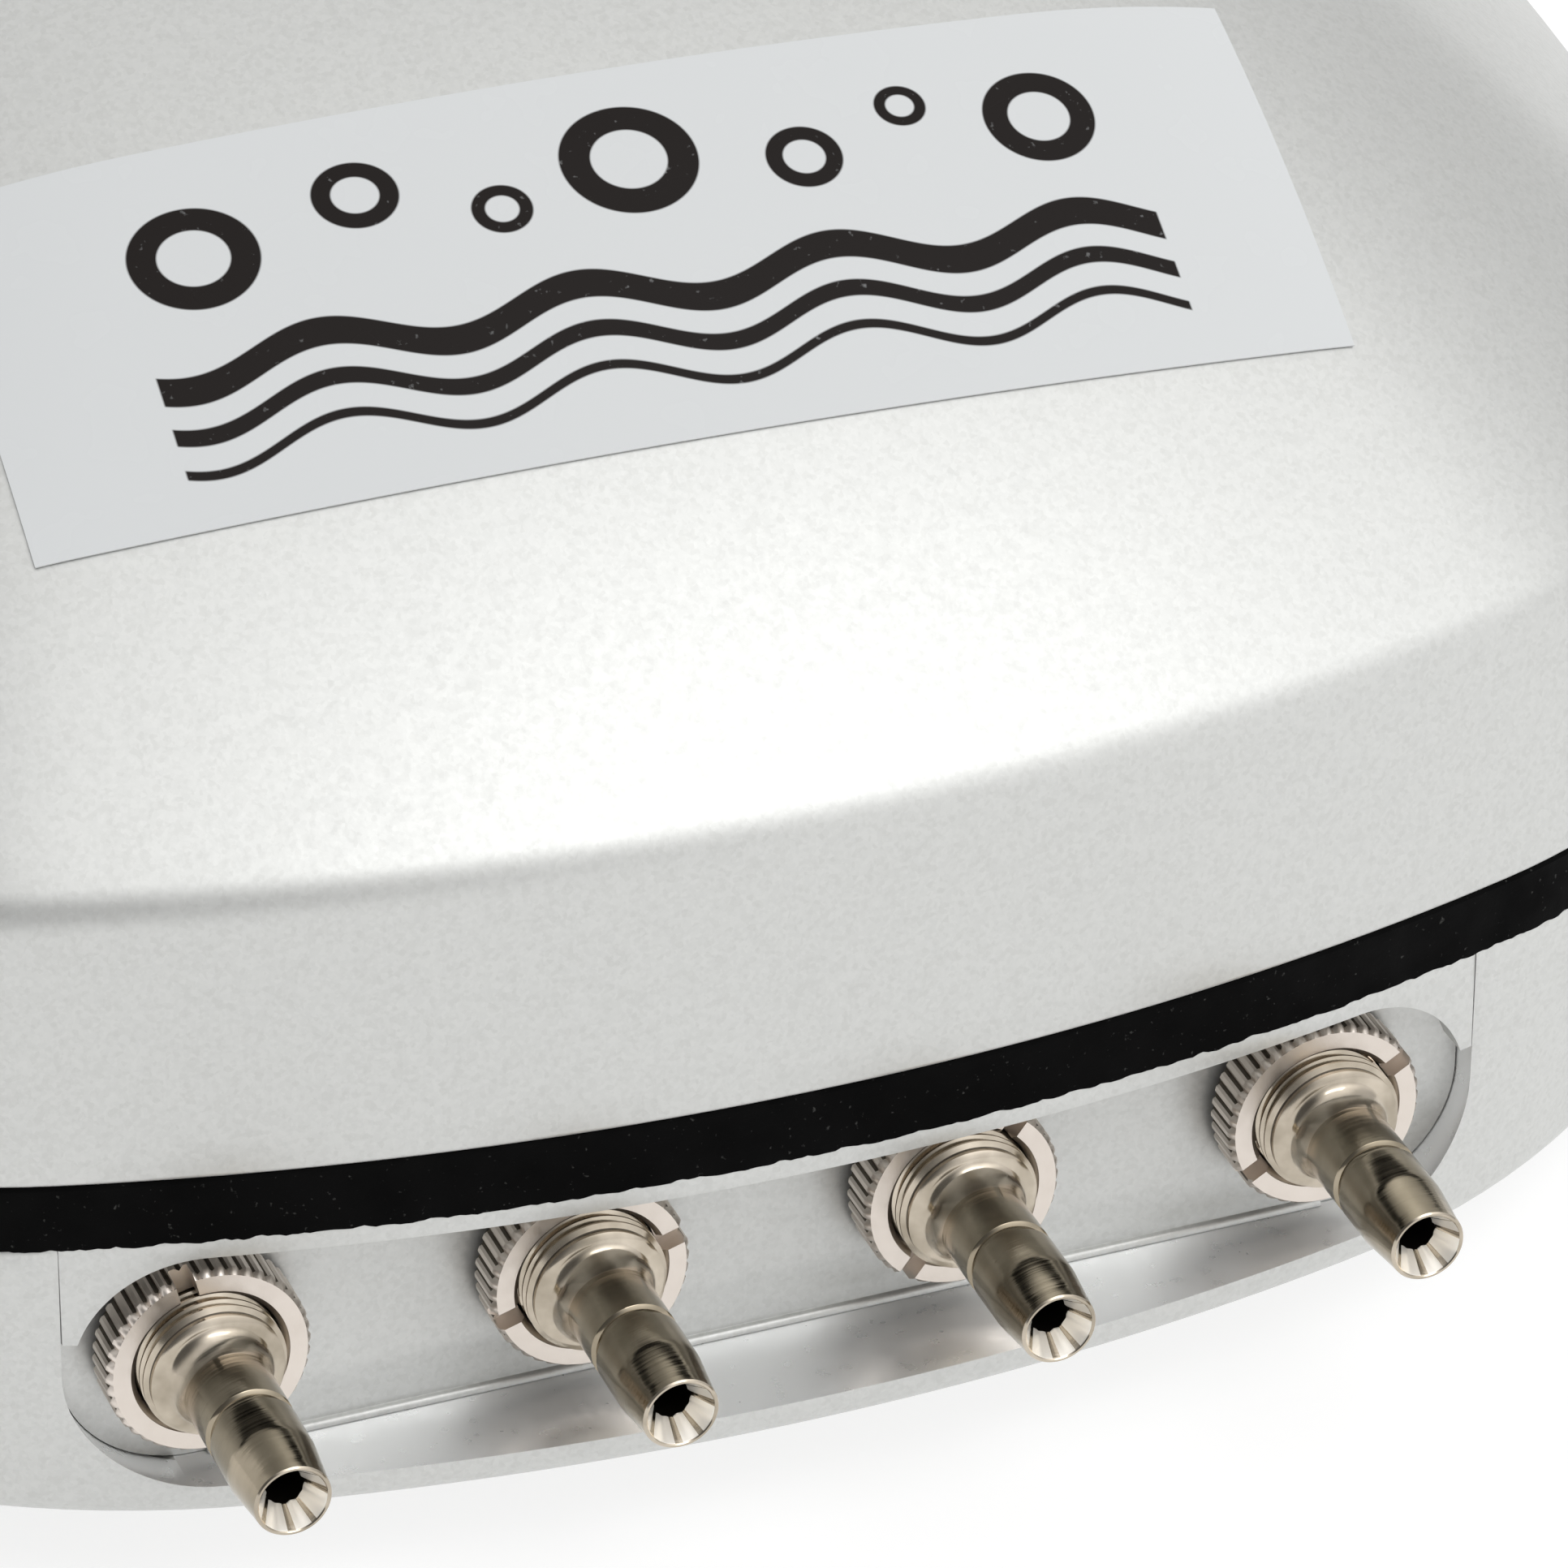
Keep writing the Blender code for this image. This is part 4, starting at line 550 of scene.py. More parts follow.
# ---- casing outline ----
class Outline:
    """Plan outline of tangent arcs: bowed ends, bowed sides and round corners."""

    def __init__(self, half_width, half_length, front_radius, side_radius, corner_radius):
        self.half_width = half_width
        self.front_radius = front_radius
        self.side_radius = side_radius
        self.corner_radius = corner_radius
        self.front_centre = Vector((0, front_radius - half_length))
        self.side_centre = Vector((half_width - side_radius, 0))
        self.corner_centre = self.find_corner()

    def find_corner(self):
        """Centre of the arc that touches the front arc and the right side arc."""
        near_front = self.front_radius - self.corner_radius
        near_side = self.side_radius - self.corner_radius
        between = self.side_centre - self.front_centre
        span = between.length
        along = (near_front**2 - near_side**2 + span**2) / (2 * span)
        rise = sqrt(near_front**2 - along**2)
        step = between / span
        foot = self.front_centre + along * step
        across = rise * Vector((-step.y, step.x))
        return min(foot + across, foot - across, key=lambda point: point.y)

    def arcs(self):
        """Centre, radius and start and end angle of each arc, from front to side."""
        to_corner = self.corner_centre - self.front_centre
        front_end = abs(Vector((0, -1)).angle_signed(to_corner))
        from_side = self.corner_centre - self.side_centre
        corner_end = pi / 2 - abs(Vector((1, 0)).angle_signed(from_side))
        return {
            "front": (self.front_centre, self.front_radius, 0.0, front_end),
            "corner": (self.corner_centre, self.corner_radius, front_end, corner_end),
            "side": (self.side_centre, self.side_radius, corner_end, pi / 2),
        }

    def quadrant(self, fine=1):
        """Points from the middle of the front to just before the middle of the right side."""
        points = []
        for word, (centre, radius, start, end) in self.arcs().items():
            steps = ARC_STEPS[word] * fine
            for i in range(steps):
                angle = start + (end - start) * i / steps
                points.append(centre + radius * Vector((sin(angle), -cos(angle))))
        return points

    def ring(self, z, fine=1):
        """Whole outline at one height, anticlockwise."""
        right_front = self.quadrant(fine)
        right_back = [Vector((p.x, -p.y)) for p in right_front[::-1]]
        right = right_front + [Vector((self.half_width, 0))] + right_back
        left = [Vector((-p.x, p.y)) for p in right[-2:0:-1]]
        return [Vector((p.x, p.y, z)) for p in right + left]

    def reach(self, x, y):
        """Distance from the middle to the outline in the direction of a point."""
        size = hypot(x, y)
        way = Vector((abs(x) / size, -abs(y) / size))
        for centre, radius, start, end in self.arcs().values():
            along = way.dot(centre)
            inside = along**2 - centre.length_squared + radius**2
            if inside < 0:
                continue
            hit = along + sqrt(inside)
            turn = way * hit - centre
            if start - 1e-6 <= atan2(turn.x, -turn.y) <= end + 1e-6:
                return hit
        raise ValueError("no arc of the outline lies that way")


def casing_outline(inset=0.0, taper=0.0, corner=CORNER_RADIUS):
    """Outline of the casing's wall, set in by some distance."""
    return Outline(
        HALF_WIDTH - taper - inset, HALF_LENGTH - inset,
        FRONT_RADIUS - inset, SIDE_RADIUS - inset, corner - inset,
    )


def base_outline(inset=0.0):
    """Outline at the foot of the lower casing, narrower at the sides and rounder."""
    return casing_outline(inset, BASE_SIDE_TAPER, BASE_CORNER_RADIUS)


def dome_outline(share, inset=CREASE_INSET):
    """Contour line of the dome, rounder towards the top; share is 1 at the crease."""
    near = 1 - (1 - share) ** 2

    def mixed(top, foot):
        """Radius of an arc on its way from the top's to the wall's."""
        return share * (top + (foot - top) * near - inset)

    return Outline(
        share * (HALF_WIDTH - inset),
        share * (HALF_LENGTH - inset),
        mixed(TOP_FRONT_RADIUS, FRONT_RADIUS),
        mixed(TOP_SIDE_RADIUS, SIDE_RADIUS),
        mixed(TOP_CORNER_RADIUS, CORNER_RADIUS),
    )


def dome_height(share):
    """Height of the dome's contour line above the crease."""
    return (DOME_TOP_Z - CREASE_Z) * (1 - share**DOME_POWER)


def dome_z(x, y):
    """Height of the dome's outside at a point in plan."""
    low, high = 0.01, 1.0
    for _ in range(30):
        middle = (low + high) / 2
        if hypot(x, y) > dome_outline(middle).reach(x, y):
            low = middle
        else:
            high = middle
    return CREASE_Z + dome_height(high)


def dome_normal(x, y):
    """Outward normal of the dome at a point in plan."""
    step = 0.4 * MM
    slope_x = (dome_z(x + step, y) - dome_z(x - step, y)) / (2 * step)
    slope_y = (dome_z(x, y + step) - dome_z(x, y - step)) / (2 * step)
    return Vector((-slope_x, -slope_y, 1)).normalized()


# ---- casing ----
def rolled_edge(outline, radius, z, steps):
    """Rings of a quarter round at the foot of a wall."""
    angles = [pi / 2 * i / steps for i in range(steps + 1)]
    return [outline(radius * (1 - sin(a))).ring(z + radius * (1 - cos(a))) for a in angles]


def upper_casing(paint):
    """Domed cover: rolled lower edge, upright wall, soft crease and dome."""
    edge = RIM_RADIUS
    start_inset = CREASE_INSET - CREASE_RADIUS * (1 - cos(CREASE_TURN))
    start_z = CREASE_Z - CREASE_RADIUS * sin(CREASE_TURN)
    rings = [casing_outline(WALL).ring(SEAL_TOP_Z)] + rolled_edge(casing_outline, edge, SEAL_TOP_Z, 3)
    wall_steps = 6
    for i in range(1, wall_steps + 1):
        share = i / wall_steps
        height = SEAL_TOP_Z + edge + (start_z - SEAL_TOP_Z - edge) * share
        rings.append(casing_outline(start_inset * share).ring(height))
    for i in range(1, 6):
        angle = CREASE_TURN * i / 6
        inset = start_inset + CREASE_RADIUS * (1 - cos(angle))
        rings.append(casing_outline(inset).ring(start_z + CREASE_RADIUS * sin(angle)))
    for i in range(DOME_ROWS):
        share = 1 - i / DOME_ROWS
        rings.append(dome_outline(share).ring(CREASE_Z + dome_height(share)))
    skin = loft("upper_casing_shell", rings, paint, sharp=60)
    with edited(skin.data) as work:
        caps = [face for face in work.faces if len(face.verts) > 4]
        lowest = min(caps, key=lambda face: face.calc_center_median().z)
        bmesh.ops.delete(work, geom=[lowest], context="FACES_ONLY")
        highest = [face for face in work.faces if len(face.verts) > 4]
        bmesh.ops.poke(work, faces=highest)
    thicken_inward(skin)
    settle(skin, "upper_casing")


def thicken_inward(skin):
    """Close the shell with an inner skin, a wall's thickness inside."""
    with edited(skin.data) as work:
        for vert in grow_border(work):
            vert.co.z += CREASE_Z - WALL - SEAL_TOP_Z
        for share in (0.9, 0.78, 0.6, 0.4, 0.2):
            ring = dome_outline(share, CREASE_INSET + WALL).ring(CREASE_Z - WALL + dome_height(share))
            match_ring(grow_border(work), ring)
        bmesh.ops.contextual_create(work, geom=[edge for edge in work.edges if edge.is_boundary])
        bmesh.ops.recalc_face_normals(work, faces=work.faces)
    skin.data.shade_smooth()
    skin.data.set_sharp_from_angle(angle=radians(60))


def grow_border(work):
    """New row of faces along the open edge; returns the vertices at its far side."""
    border = [edge for edge in work.edges if edge.is_boundary]
    grown = bmesh.ops.extrude_edge_only(work, edges=border)["geom"]
    return [item for item in grown if isinstance(item, bmesh.types.BMVert)]


def match_ring(verts, ring):
    """Move a loop of vertices to a ring, both taken round in order of their angle."""
    by_angle = sorted(verts, key=lambda vert: atan2(vert.co.y, vert.co.x))
    for vert, point in zip(by_angle, sorted(ring, key=lambda p: atan2(p.y, p.x))):
        vert.co = point


def notch_outline(half_width, floor, radius, top):
    """U shape with round lower corners, centred on the outlet panel."""
    left = arc_points((PANEL_X - half_width + radius, floor + radius), radius, 180, 270, 20)
    right = arc_points((PANEL_X + half_width - radius, floor + radius), radius, 270, 360, 20)
    return [(PANEL_X + half_width, top), (PANEL_X - half_width, top)] + left + right


def recess_outline(half_width):
    """Recess front: round upper ends, open below the height where the corners get thin."""
    radius = (RECESS_TOP_Z - RECESS_FLOOR_Z) / 2
    low = BASE_Z - MM
    wide = half_width + 3 * MM
    centre_z = RECESS_TOP_Z - radius
    rise = SPANDREL_Z - centre_z
    lean = atan2(rise, sqrt(radius**2 - rise**2)) * 180 / pi
    right = arc_points((PANEL_X + half_width - radius, centre_z), radius, lean, 90, 20)
    left = arc_points((PANEL_X - half_width + radius, centre_z), radius, 90, 180 - lean, 20)
    start = [(PANEL_X - wide, low), (PANEL_X + wide, low), (PANEL_X + wide, SPANDREL_Z)]
    return start + right + left + [(PANEL_X - wide, SPANDREL_Z)]


def lower_casing(paint):
    """Tray with a rolled foot, a notch for the outlet panel and its openings."""
    rings = rolled_edge(base_outline, BASE_EDGE_RADIUS, BASE_Z, 8)
    foot = base_outline().ring(BASE_Z + BASE_EDGE_RADIUS)
    top = casing_outline().ring(SEAL_BOTTOM_Z - RIM_RADIUS)
    rings += [[a.lerp(b, i / 4) for a, b in zip(foot, top)] for i in range(1, 5)]
    rings.append(casing_outline(0.1 * MM).ring(SEAL_BOTTOM_Z - 0.1 * MM))
    rings.append(casing_outline(RIM_RADIUS).ring(SEAL_BOTTOM_Z))
    rings.append(casing_outline(WALL).ring(SEAL_BOTTOM_Z))
    rings.append(base_outline(WALL).ring(BASE_FLOOR_Z))
    tray = loft("lower_casing_tray", rings, paint)
    notch = notch_outline(NOTCH_HALF_WIDTH, RECESS_FLOOR_Z, NOTCH_CORNER_RADIUS, SEAL_TOP_Z)
    front = -HALF_LENGTH - CUT_MARGIN
    # The notch's cut faces take the paler finish, which is painted light on the ledge.
    combine(tray, prism("notch", notch, front, PANEL_BACK_Y, "Y", notch_light_finish()), "DIFFERENCE")
    for (_, foot), (_, screw) in zip(four("rubber_foot"), four("casing_screw")):
        drill(tray, FOOT_HOLE_RADIUS, 0, BASE_FLOOR_Z + MM, (*foot.middle.xy, 0), (0, 0, 1))
        drill(tray, SCREW_SINK_RADIUS, 0, BASE_Z + SCREW_SINK, (*screw.middle.xy, 0), (0, 0, 1))
    filter_y = Box("filter_cover").middle.y
    drill(tray, FILTER_HOLE_RADIUS, 0, BASE_FLOOR_Z + MM, (0, filter_y, 0), (0, 0, 1))
    gland_z = Box("cable_gland").middle.z
    inner, outer = HALF_LENGTH - 4 * WALL, HALF_LENGTH + WALL
    drill(tray, GLAND_HOLE_RADIUS, inner, outer, (0, 0, gland_z), (0, 1, 0))
    bevel_edges(tray, 0.22 * MM)
    settle(tray, "lower_casing")


def outlet_panel(paint):
    """Insert with a flush band above and a flat face behind the recess."""
    radius = NOTCH_CORNER_RADIUS - 0.06 * MM
    half = NOTCH_HALF_WIDTH - SLIT
    outline = notch_outline(half, RECESS_FLOOR_Z + SLIT, radius, SEAL_BOTTOM_Z)
    front = -HALF_LENGTH - CUT_MARGIN
    panel = prism("outlet_panel_insert", outline, front, PANEL_BACK_Y, "Y", paint)
    skin = casing_outline(0.08 * MM)
    outside = loft("outside", [skin.ring(0, 2), skin.ring(SEAL_TOP_Z, 2)], paint)
    combine(panel, outside, "INTERSECT")
    pocket = recess_outline(half - 0.41 * MM)
    combine(panel, prism("pocket", pocket, front, RECESS_FACE_Y, "Y", paint), "DIFFERENCE")
    reach = half - NOTCH_CORNER_RADIUS - 0.6 * MM
    section = [(0.2, 0), (0.2, 0.42), (0, 0.42), (-0.16, 0.38), (-0.29, 0.29), (-0.38, 0.16), (-0.42, 0)]
    rings = [
        [(PANEL_X + end, RECESS_FACE_Y + y * MM, RECESS_FLOOR_Z + SLIT + z * MM) for y, z in section]
        for end in (-reach, reach)
    ]
    combine(panel, loft("bead", rings, paint), "UNION")
    for _, nut in four("ring_nut"):
        origin = (nut.middle.x, 0, nut.middle.z)
        drill(panel, THREAD_HOLE_RADIUS, -PANEL_BACK_Y - MM, HALF_LENGTH, origin, (0, -1, 0))
    bevel_edges(panel, 0.25 * MM, 3)
    settle(panel, "outlet_panel")


def casing_gasket(material):
    """Rubber seal with a slightly uneven face and a ragged lower edge."""
    top, foot = SEAL_TOP_Z, SEAL_BOTTOM_Z
    profile = (  # inset, height, raggedness
        (WALL, top - SLIT, 0.0), (0.25 * MM, top - SLIT, 0.0), (0.08 * MM, top - 0.25 * MM, 0.2),
        (0.05 * MM, top - 1.3 * MM, 0.5), (0.05 * MM, foot + 1.2 * MM, 0.7),
        (0.03 * MM, foot + 0.3 * MM, 1.0), (0.03 * MM, foot - 0.12 * MM, 1.0),
        (0.2 * MM, foot - 0.12 * MM, 1.0), (0.5 * MM, foot + SLIT, 0.0), (WALL, foot + SLIT, 0.0),
    )
    rings = []
    for inset, z, raggedness in profile:
        ring = casing_outline(inset).ring(z, 6)
        for point in ring:
            uneven = noise.noise(point * 900) + 0.6 * noise.noise(point * 2600)
            if z < foot:
                point.z += 0.16 * MM * raggedness * uneven
            point.xy *= 1 - 0.0006 * raggedness * abs(uneven)
        rings.append(ring)
    seal = loft("casing_seal", rings, material, closed=True)
    settle(seal, "casing_gasket")


# ---- outlets ----
# Lengths along a nozzle are in millimetres from the nut's face, or from the tip for its mouth.
BARREL_START = 3.1
GROOVE_EDGE = (7.22, 7.42)
THREAD_ROOT = (3.6, 3.8)
THREAD_END = 1.05
BORE_LIP = 1.08  # radius where the funnel ends
FUNNEL_RADIUS = 1.93
FUNNEL_DEPTH = 1.5
BORE_RADIUS = 1.6
FLANGE_THICKNESS = 5.5


def paint_faces(piece, spot, others, choose):
    """Give other materials to some faces of a piece turned round a line along Y.

    choose(off, y, angle) is 0 for the first material or the number of another, and off is
    the distance of a face's centre from the line.
    """
    for material in others:
        piece.data.materials.append(material)
    for face in piece.data.polygons:
        x, z = face.center.x - spot[0], face.center.z - spot[2]
        face.material_index = choose(hypot(x, z), face.center.y, atan2(z, x))


def nozzle_profile(face, back, tip):
    """Flange, thread, filleted shoulder, grooved barrel, tapered tip, funnel and bore."""
    rear = back + FLANGE_THICKNESS
    steps = [
        (BORE_RADIUS, rear), (3.0, rear), (3.0, back + 2.5), (6.0, back + 2.5), (6.0, back), (3.6, back),
    ]
    behind = [(radius * MM, face - along * MM) for radius, along in steps]
    thread = []
    reach = -2.2
    while reach < 0.9:
        thread += [(3.66, reach), (3.72, reach + 0.08), (4.06, reach + 0.26)]
        thread += [(4.06, reach + 0.38), (3.72, reach + 0.56)]
        reach += 0.64
    thread += [(3.62, 1.0), (3.78, 1.06), (3.78, 1.3), (3.6, 1.42)]
    turns = [pi / 2 * i / 8 for i in range(9)]
    shoulder = [(3.3 - 0.8 * sin(turn), 1.5 + 1.9 * (1 - cos(turn))) for turn in turns]
    barrel = [
        (2.5, 6.6), (2.44, 6.66), (2.27, 6.74), (2.25, 6.86), (2.25, 7.14), (2.27, 7.26),
        (2.44, 7.34), (2.5, 7.4), (2.5, 10.2), (2.48, 10.5), (2.22, 12.9), (2.2, 13.2),
    ]
    end = (tip - face) / MM
    mouth = [
        (2.16, end - 0.1), (2.08, end), (1.96, end), (1.9, end - 0.06), (BORE_LIP, end - FUNNEL_DEPTH),
        (BORE_LIP, end - FUNNEL_DEPTH - 0.06), (BORE_RADIUS, end - 2.1),
    ]
    front = [(radius * MM, face + along * MM) for radius, along in thread + shoulder + barrel + mouth]
    return behind + front


def chatter(angle):
    """Uneven marks of the countersink, from -2 to 2 round the funnel."""
    return sin(11 * angle) + sin(7 * angle + 1)


def outlet_nozzles(material):
    """Four plated hose nozzles: a painted dark reflection on the barrel, a painted highlight in the bright
    funnel, and painted shade in the dark bore and thread roots.
    """
    others = [
        # Darker nickel is a painted dark reflection on the barrel.
        nickel("dark_reflection_nickel", (0.40, 0.345, 0.26)),
        # Pale colour of the funnel is a painted highlight.
        Finish("countersink", (0.92, 0.88, 0.81), 0.3, 0.6).material,
        # Near-black bore is painted shade inside the hole.
        Finish("bore_painted_shade", (0.012, 0.010, 0.008), 0.8, specular_ior_level=0.05).material,
        # Dark nickel of painted shade for the thread roots.
        groove_shade_nickel(),
    ]
    wear_and_painted_reflection, bright, dark, groove_shade = 1, 2, 3, 4
    for (i, nozzle), (_, nut) in zip(four("outlet_nozzle"), four("ring_nut")):
        face, tip = -nut.low[1], -nozzle.low[1]
        back = (face + nozzle.high[1] - FLANGE_THICKNESS * MM) / MM
        spot = ((nut.low[0] + nut.high[0]) / 2, 0, (nut.low[2] + nut.high[2]) / 2)

        def cutter_marks(here, along, angle):
            """Slight radial facets in the funnel, none at its rim."""
            if here > FUNNEL_RADIUS * MM or along < tip - (FUNNEL_DEPTH + 0.1) * MM:
                return here
            depth = min(1.0, (tip - along) / MM)
            return here + 0.035 * MM * depth * chatter(angle)

        def finish(off, y, angle):
            """Which material a face gets, from where its centre is."""
            radius, reach, depth = off / MM, (-face - y) / MM, (tip + y) / MM
            # Thread roots get the dark nickel of painted shade.
            if THREAD_ROOT[0] < radius < THREAD_ROOT[1] and reach < THREAD_END:
                return groove_shade
            # The bore gets near-black painted shade.
            if radius < BORE_RADIUS + 0.1 and depth > FUNNEL_DEPTH:
                return dark
            # Funnel faces get the painted highlight, in sectors set by chatter that stand for streaky
            # reflections.
            if radius < FUNNEL_RADIUS and depth > 0.04:
                return bright if depth < FUNNEL_DEPTH and chatter(angle) < 0.9 else 0
            # The barrel gets the painted dark reflection, except at the groove's front edge and the rim,
            # which keep plain nickel.
            on_barrel = radius > 2.0 and reach > BARREL_START and depth > 0.12
            return wear_and_painted_reflection if on_barrel and not GROOVE_EDGE[0] < reach < GROOVE_EDGE[1] else 0

        profile = nozzle_profile(face, back, tip)
        piece = turned(f"nozzle_{i}", profile, material, spot, (0, -1, 0), 104, 28, cutter_marks)
        paint_faces(piece, spot, others, finish)
        settle(piece, nozzle.node)


NUT_TEETH = 44
NUT_TOOTH_DEPTH = 0.26 * MM
NUT_SLOT_WIDTH = 1.1 * MM
NUT_SLOT_DEPTH = 1.3 * MM
NUT_SLOT_ANGLES = (103, 17, 53, 31)


def ring_nuts(material):
    """Round nuts with a knurled rim, a faced front and two slots."""
    # Dark nickel for painted shade in the knurl's grooves.
    groove_shade = groove_shade_nickel()
    for (i, box), slot_angle in zip(four("ring_nut"), NUT_SLOT_ANGLES):
        low, high, radius = box.low, box.high, box.radius
        front, back = -low[1], -high[1]
        bore = THREAD_HOLE_RADIUS
        edge = 0.3 * MM
        step = 0.12 * MM
        profile = [
            (bore, back), (radius - edge, back), (radius, back + edge), (radius, front - edge - step),
            (radius - 0.6 * edge, front - step), (radius - edge, front), (bore + 0.3 * MM, front),
            (bore, front - 0.3 * MM),
        ]

        def knurl(here, _, angle):
            """Straight ridges round the rim."""
            if here < radius - 0.7 * edge:
                return here
            ridge = abs((angle * NUT_TEETH / (2 * pi)) % 1 - 0.5) * 2
            return here - NUT_TOOTH_DEPTH * (1 - min(1.0, 1.5 * ridge))

        def finish(off, y, _):
            """Painted shade on the floor of the grooves of the knurl."""
            return int(radius - 0.32 * MM < off < radius - 0.14 * MM and low[1] + 0.5 * MM < y)

        spot = ((low[0] + high[0]) / 2, 0, (low[2] + high[2]) / 2)
        nut = turned(f"nut_{i}", profile, material, spot, (0, -1, 0), NUT_TEETH * 6, 30, knurl)
        paint_faces(nut, spot, [groove_shade], finish)
        reach = 2 * radius
        half = NUT_SLOT_WIDTH / 2
        corners = [(-reach, -half), (reach, -half), (reach, half), (-reach, half)]
        slot = prism("slot", corners, low[1] - MM, low[1] + NUT_SLOT_DEPTH, "Y", material)
        turn = Matrix.Rotation(-radians(slot_angle), 4, "Y")
        slot.data.transform(Matrix.Translation(spot) @ turn)
        combine(nut, slot, "DIFFERENCE")
        settle(nut, box.node)


# ---- label ----
LABEL_WIDTH = 75.5 * MM
LABEL_HEIGHT = 25.5 * MM
LABEL_X = 0.25 * MM
LABEL_LOWER_Y = -76.9 * MM
LABEL_TURN = radians(-1.1)
LABEL_BEND = 2.3 * MM
LABEL_PLAN_SHARE = 0.82
LABEL_LIFT = 0.06 * MM
LABEL_THICKNESS = 0.12 * MM
LABEL_STEPS = (60, 20)


def front_label():
    """Thin film that follows the dome's front slope."""
    columns, rows = LABEL_STEPS
    under, over, places = [], [], []
    for row in range(rows + 1):
        for column in range(columns + 1):
            across = LABEL_WIDTH * (column / columns - 0.5)
            upward = LABEL_HEIGHT * LABEL_PLAN_SHARE * row / rows
            bend = LABEL_BEND * (2 * across / LABEL_WIDTH) ** 2
            x = LABEL_X + across * cos(LABEL_TURN) - upward * sin(LABEL_TURN)
            y = LABEL_LOWER_Y + across * sin(LABEL_TURN) + upward * cos(LABEL_TURN) + bend
            foot, normal = Vector((x, y, dome_z(x, y))), dome_normal(x, y)
            under.append(foot + LABEL_LIFT * normal)
            over.append(foot + (LABEL_LIFT + LABEL_THICKNESS) * normal)
            places.append((LABEL_WIDTH / MM * column / columns, LABEL_HEIGHT / MM * row / rows))
    wide = columns + 1
    shift = len(under)
    faces = []
    for row in range(rows):
        for column in range(columns):
            a = row * wide + column
            face = (a, a + 1, a + 1 + wide, a + wide)
            faces += [face, tuple(shift + i for i in face[::-1])]
    border = list(range(wide))
    border += [row * wide + columns for row in range(1, rows + 1)]
    border += [rows * wide + column for column in range(columns - 1, -1, -1)]
    border += [row * wide for row in range(rows - 1, 0, -1)]
    faces += [(a, b, shift + b, shift + a) for a, b in zip(border, border[1:] + border[:1])]
    film = label_print(LABEL_WIDTH / MM)
    label = add_piece("front_label_film", under + over, faces, film)
    layer = label.data.uv_layers.new(name="film")
    for loop in label.data.loops:
        layer.data[loop.index].uv = places[loop.vertex_index % shift]
    settle(label, "front_label")


# ---- underside and rear ----
def rubber_feet(material):
    """Round feet with a hollow middle and a stem through the base."""
    shoulder = BASE_Z - SLIT
    for i, box in four("rubber_foot"):
        radius, top = box.radius, box.high[2]
        profile = [
            (0, 1.0 * MM), (3.2 * MM, 1.0 * MM), (3.6 * MM, 0.8 * MM), (4.0 * MM, 0.15 * MM),
            (4.4 * MM, 0), (radius - 1.3 * MM, 0), (radius - 0.5 * MM, 0.2 * MM),
            (radius - 0.1 * MM, 0.6 * MM), (radius, 1.2 * MM), (radius - 0.3 * MM, shoulder - 0.5 * MM),
            (radius - 0.6 * MM, shoulder), (2.9 * MM, shoulder), (2.9 * MM, top - 0.6 * MM),
            (2.3 * MM, top), (0, top),
        ]
        foot = turned(f"foot_{i}", profile, material, (*box.middle.xy, 0), (0, 0, 1), 72)
        settle(foot, box.node)


def casing_screws(material):
    """Pan-head screws with a cross recess, sunk into the base."""
    core = 1.3 * MM
    for i, box in four("casing_screw"):
        radius, spot, head, end = box.radius, box.middle, box.low[2], box.high[2]
        neck = head + 2.4 * MM
        profile = [(0, head), (radius - 1.2 * MM, head), (radius - 0.4 * MM, head + 0.3 * MM)]
        profile += [(radius, head + 0.9 * MM), (radius, neck), (core, neck)]
        along = neck + 2 * MM
        while along < end - 2.6 * MM:
            profile += [(core, along), (1.68 * MM, along + 0.5 * MM), (core, along + MM)]
            along += 1.2 * MM
        profile += [(1.2 * MM, end - 1.5 * MM), (0, end)]
        screw = turned(f"screw_{i}", profile, material, (*spot.xy, 0), (0, 0, 1), 40)
        for wide, deep in ((2.0 * MM, 0.4 * MM), (0.4 * MM, 2.0 * MM)):
            signs = ((-1, -1), (1, -1), (1, 1), (-1, 1))
            corners = [(spot.x + sx * wide, spot.y + sy * deep) for sx, sy in signs]
            cross = prism("cross", corners, head - MM, head + 1.2 * MM, "Z", material)
            combine(screw, cross, "DIFFERENCE")
        settle(screw, box.node)


def filter_cap(material):
    """Slotted cap with rounded slots and a finger rim."""
    box = Box("filter_cover")
    spot, radius = box.middle, box.radius
    hole = FILTER_HOLE_RADIUS - 0.3 * MM
    face, back, top = box.low[2], BASE_Z - SLIT, box.high[2]
    profile = [
        (0, face + 0.5 * MM), (12.2 * MM, face + 0.5 * MM), (12.6 * MM, face + 0.1 * MM), (12.9 * MM, face),
        (radius - 1.2 * MM, face), (radius - 0.4 * MM, face + 0.2 * MM), (radius, face + 0.8 * MM),
        (radius, back), (hole, back), (hole, top), (hole - 1.4 * MM, top), (hole - 1.4 * MM, back),
        (0, back),
    ]
    cap = turned("filter_cap", profile, material, (*spot.xy, 0), (0, 0, 1), 96)
    for step in (-2, -1, 0, 1, 2):
        x = spot.x + step * 4.4 * MM
        half = (9 - 1.6 * abs(step)) * MM
        slot = arc_points((x, spot.y + half), MM, 0, 180, 8)
        slot += arc_points((x, spot.y - half), MM, 180, 360, 8)
        combine(cap, prism("slot", slot, face - MM, BASE_Z + MM, "Z", material), "DIFFERENCE")
    bevel_edges(cap, 0.15 * MM)
    settle(cap, box.node)


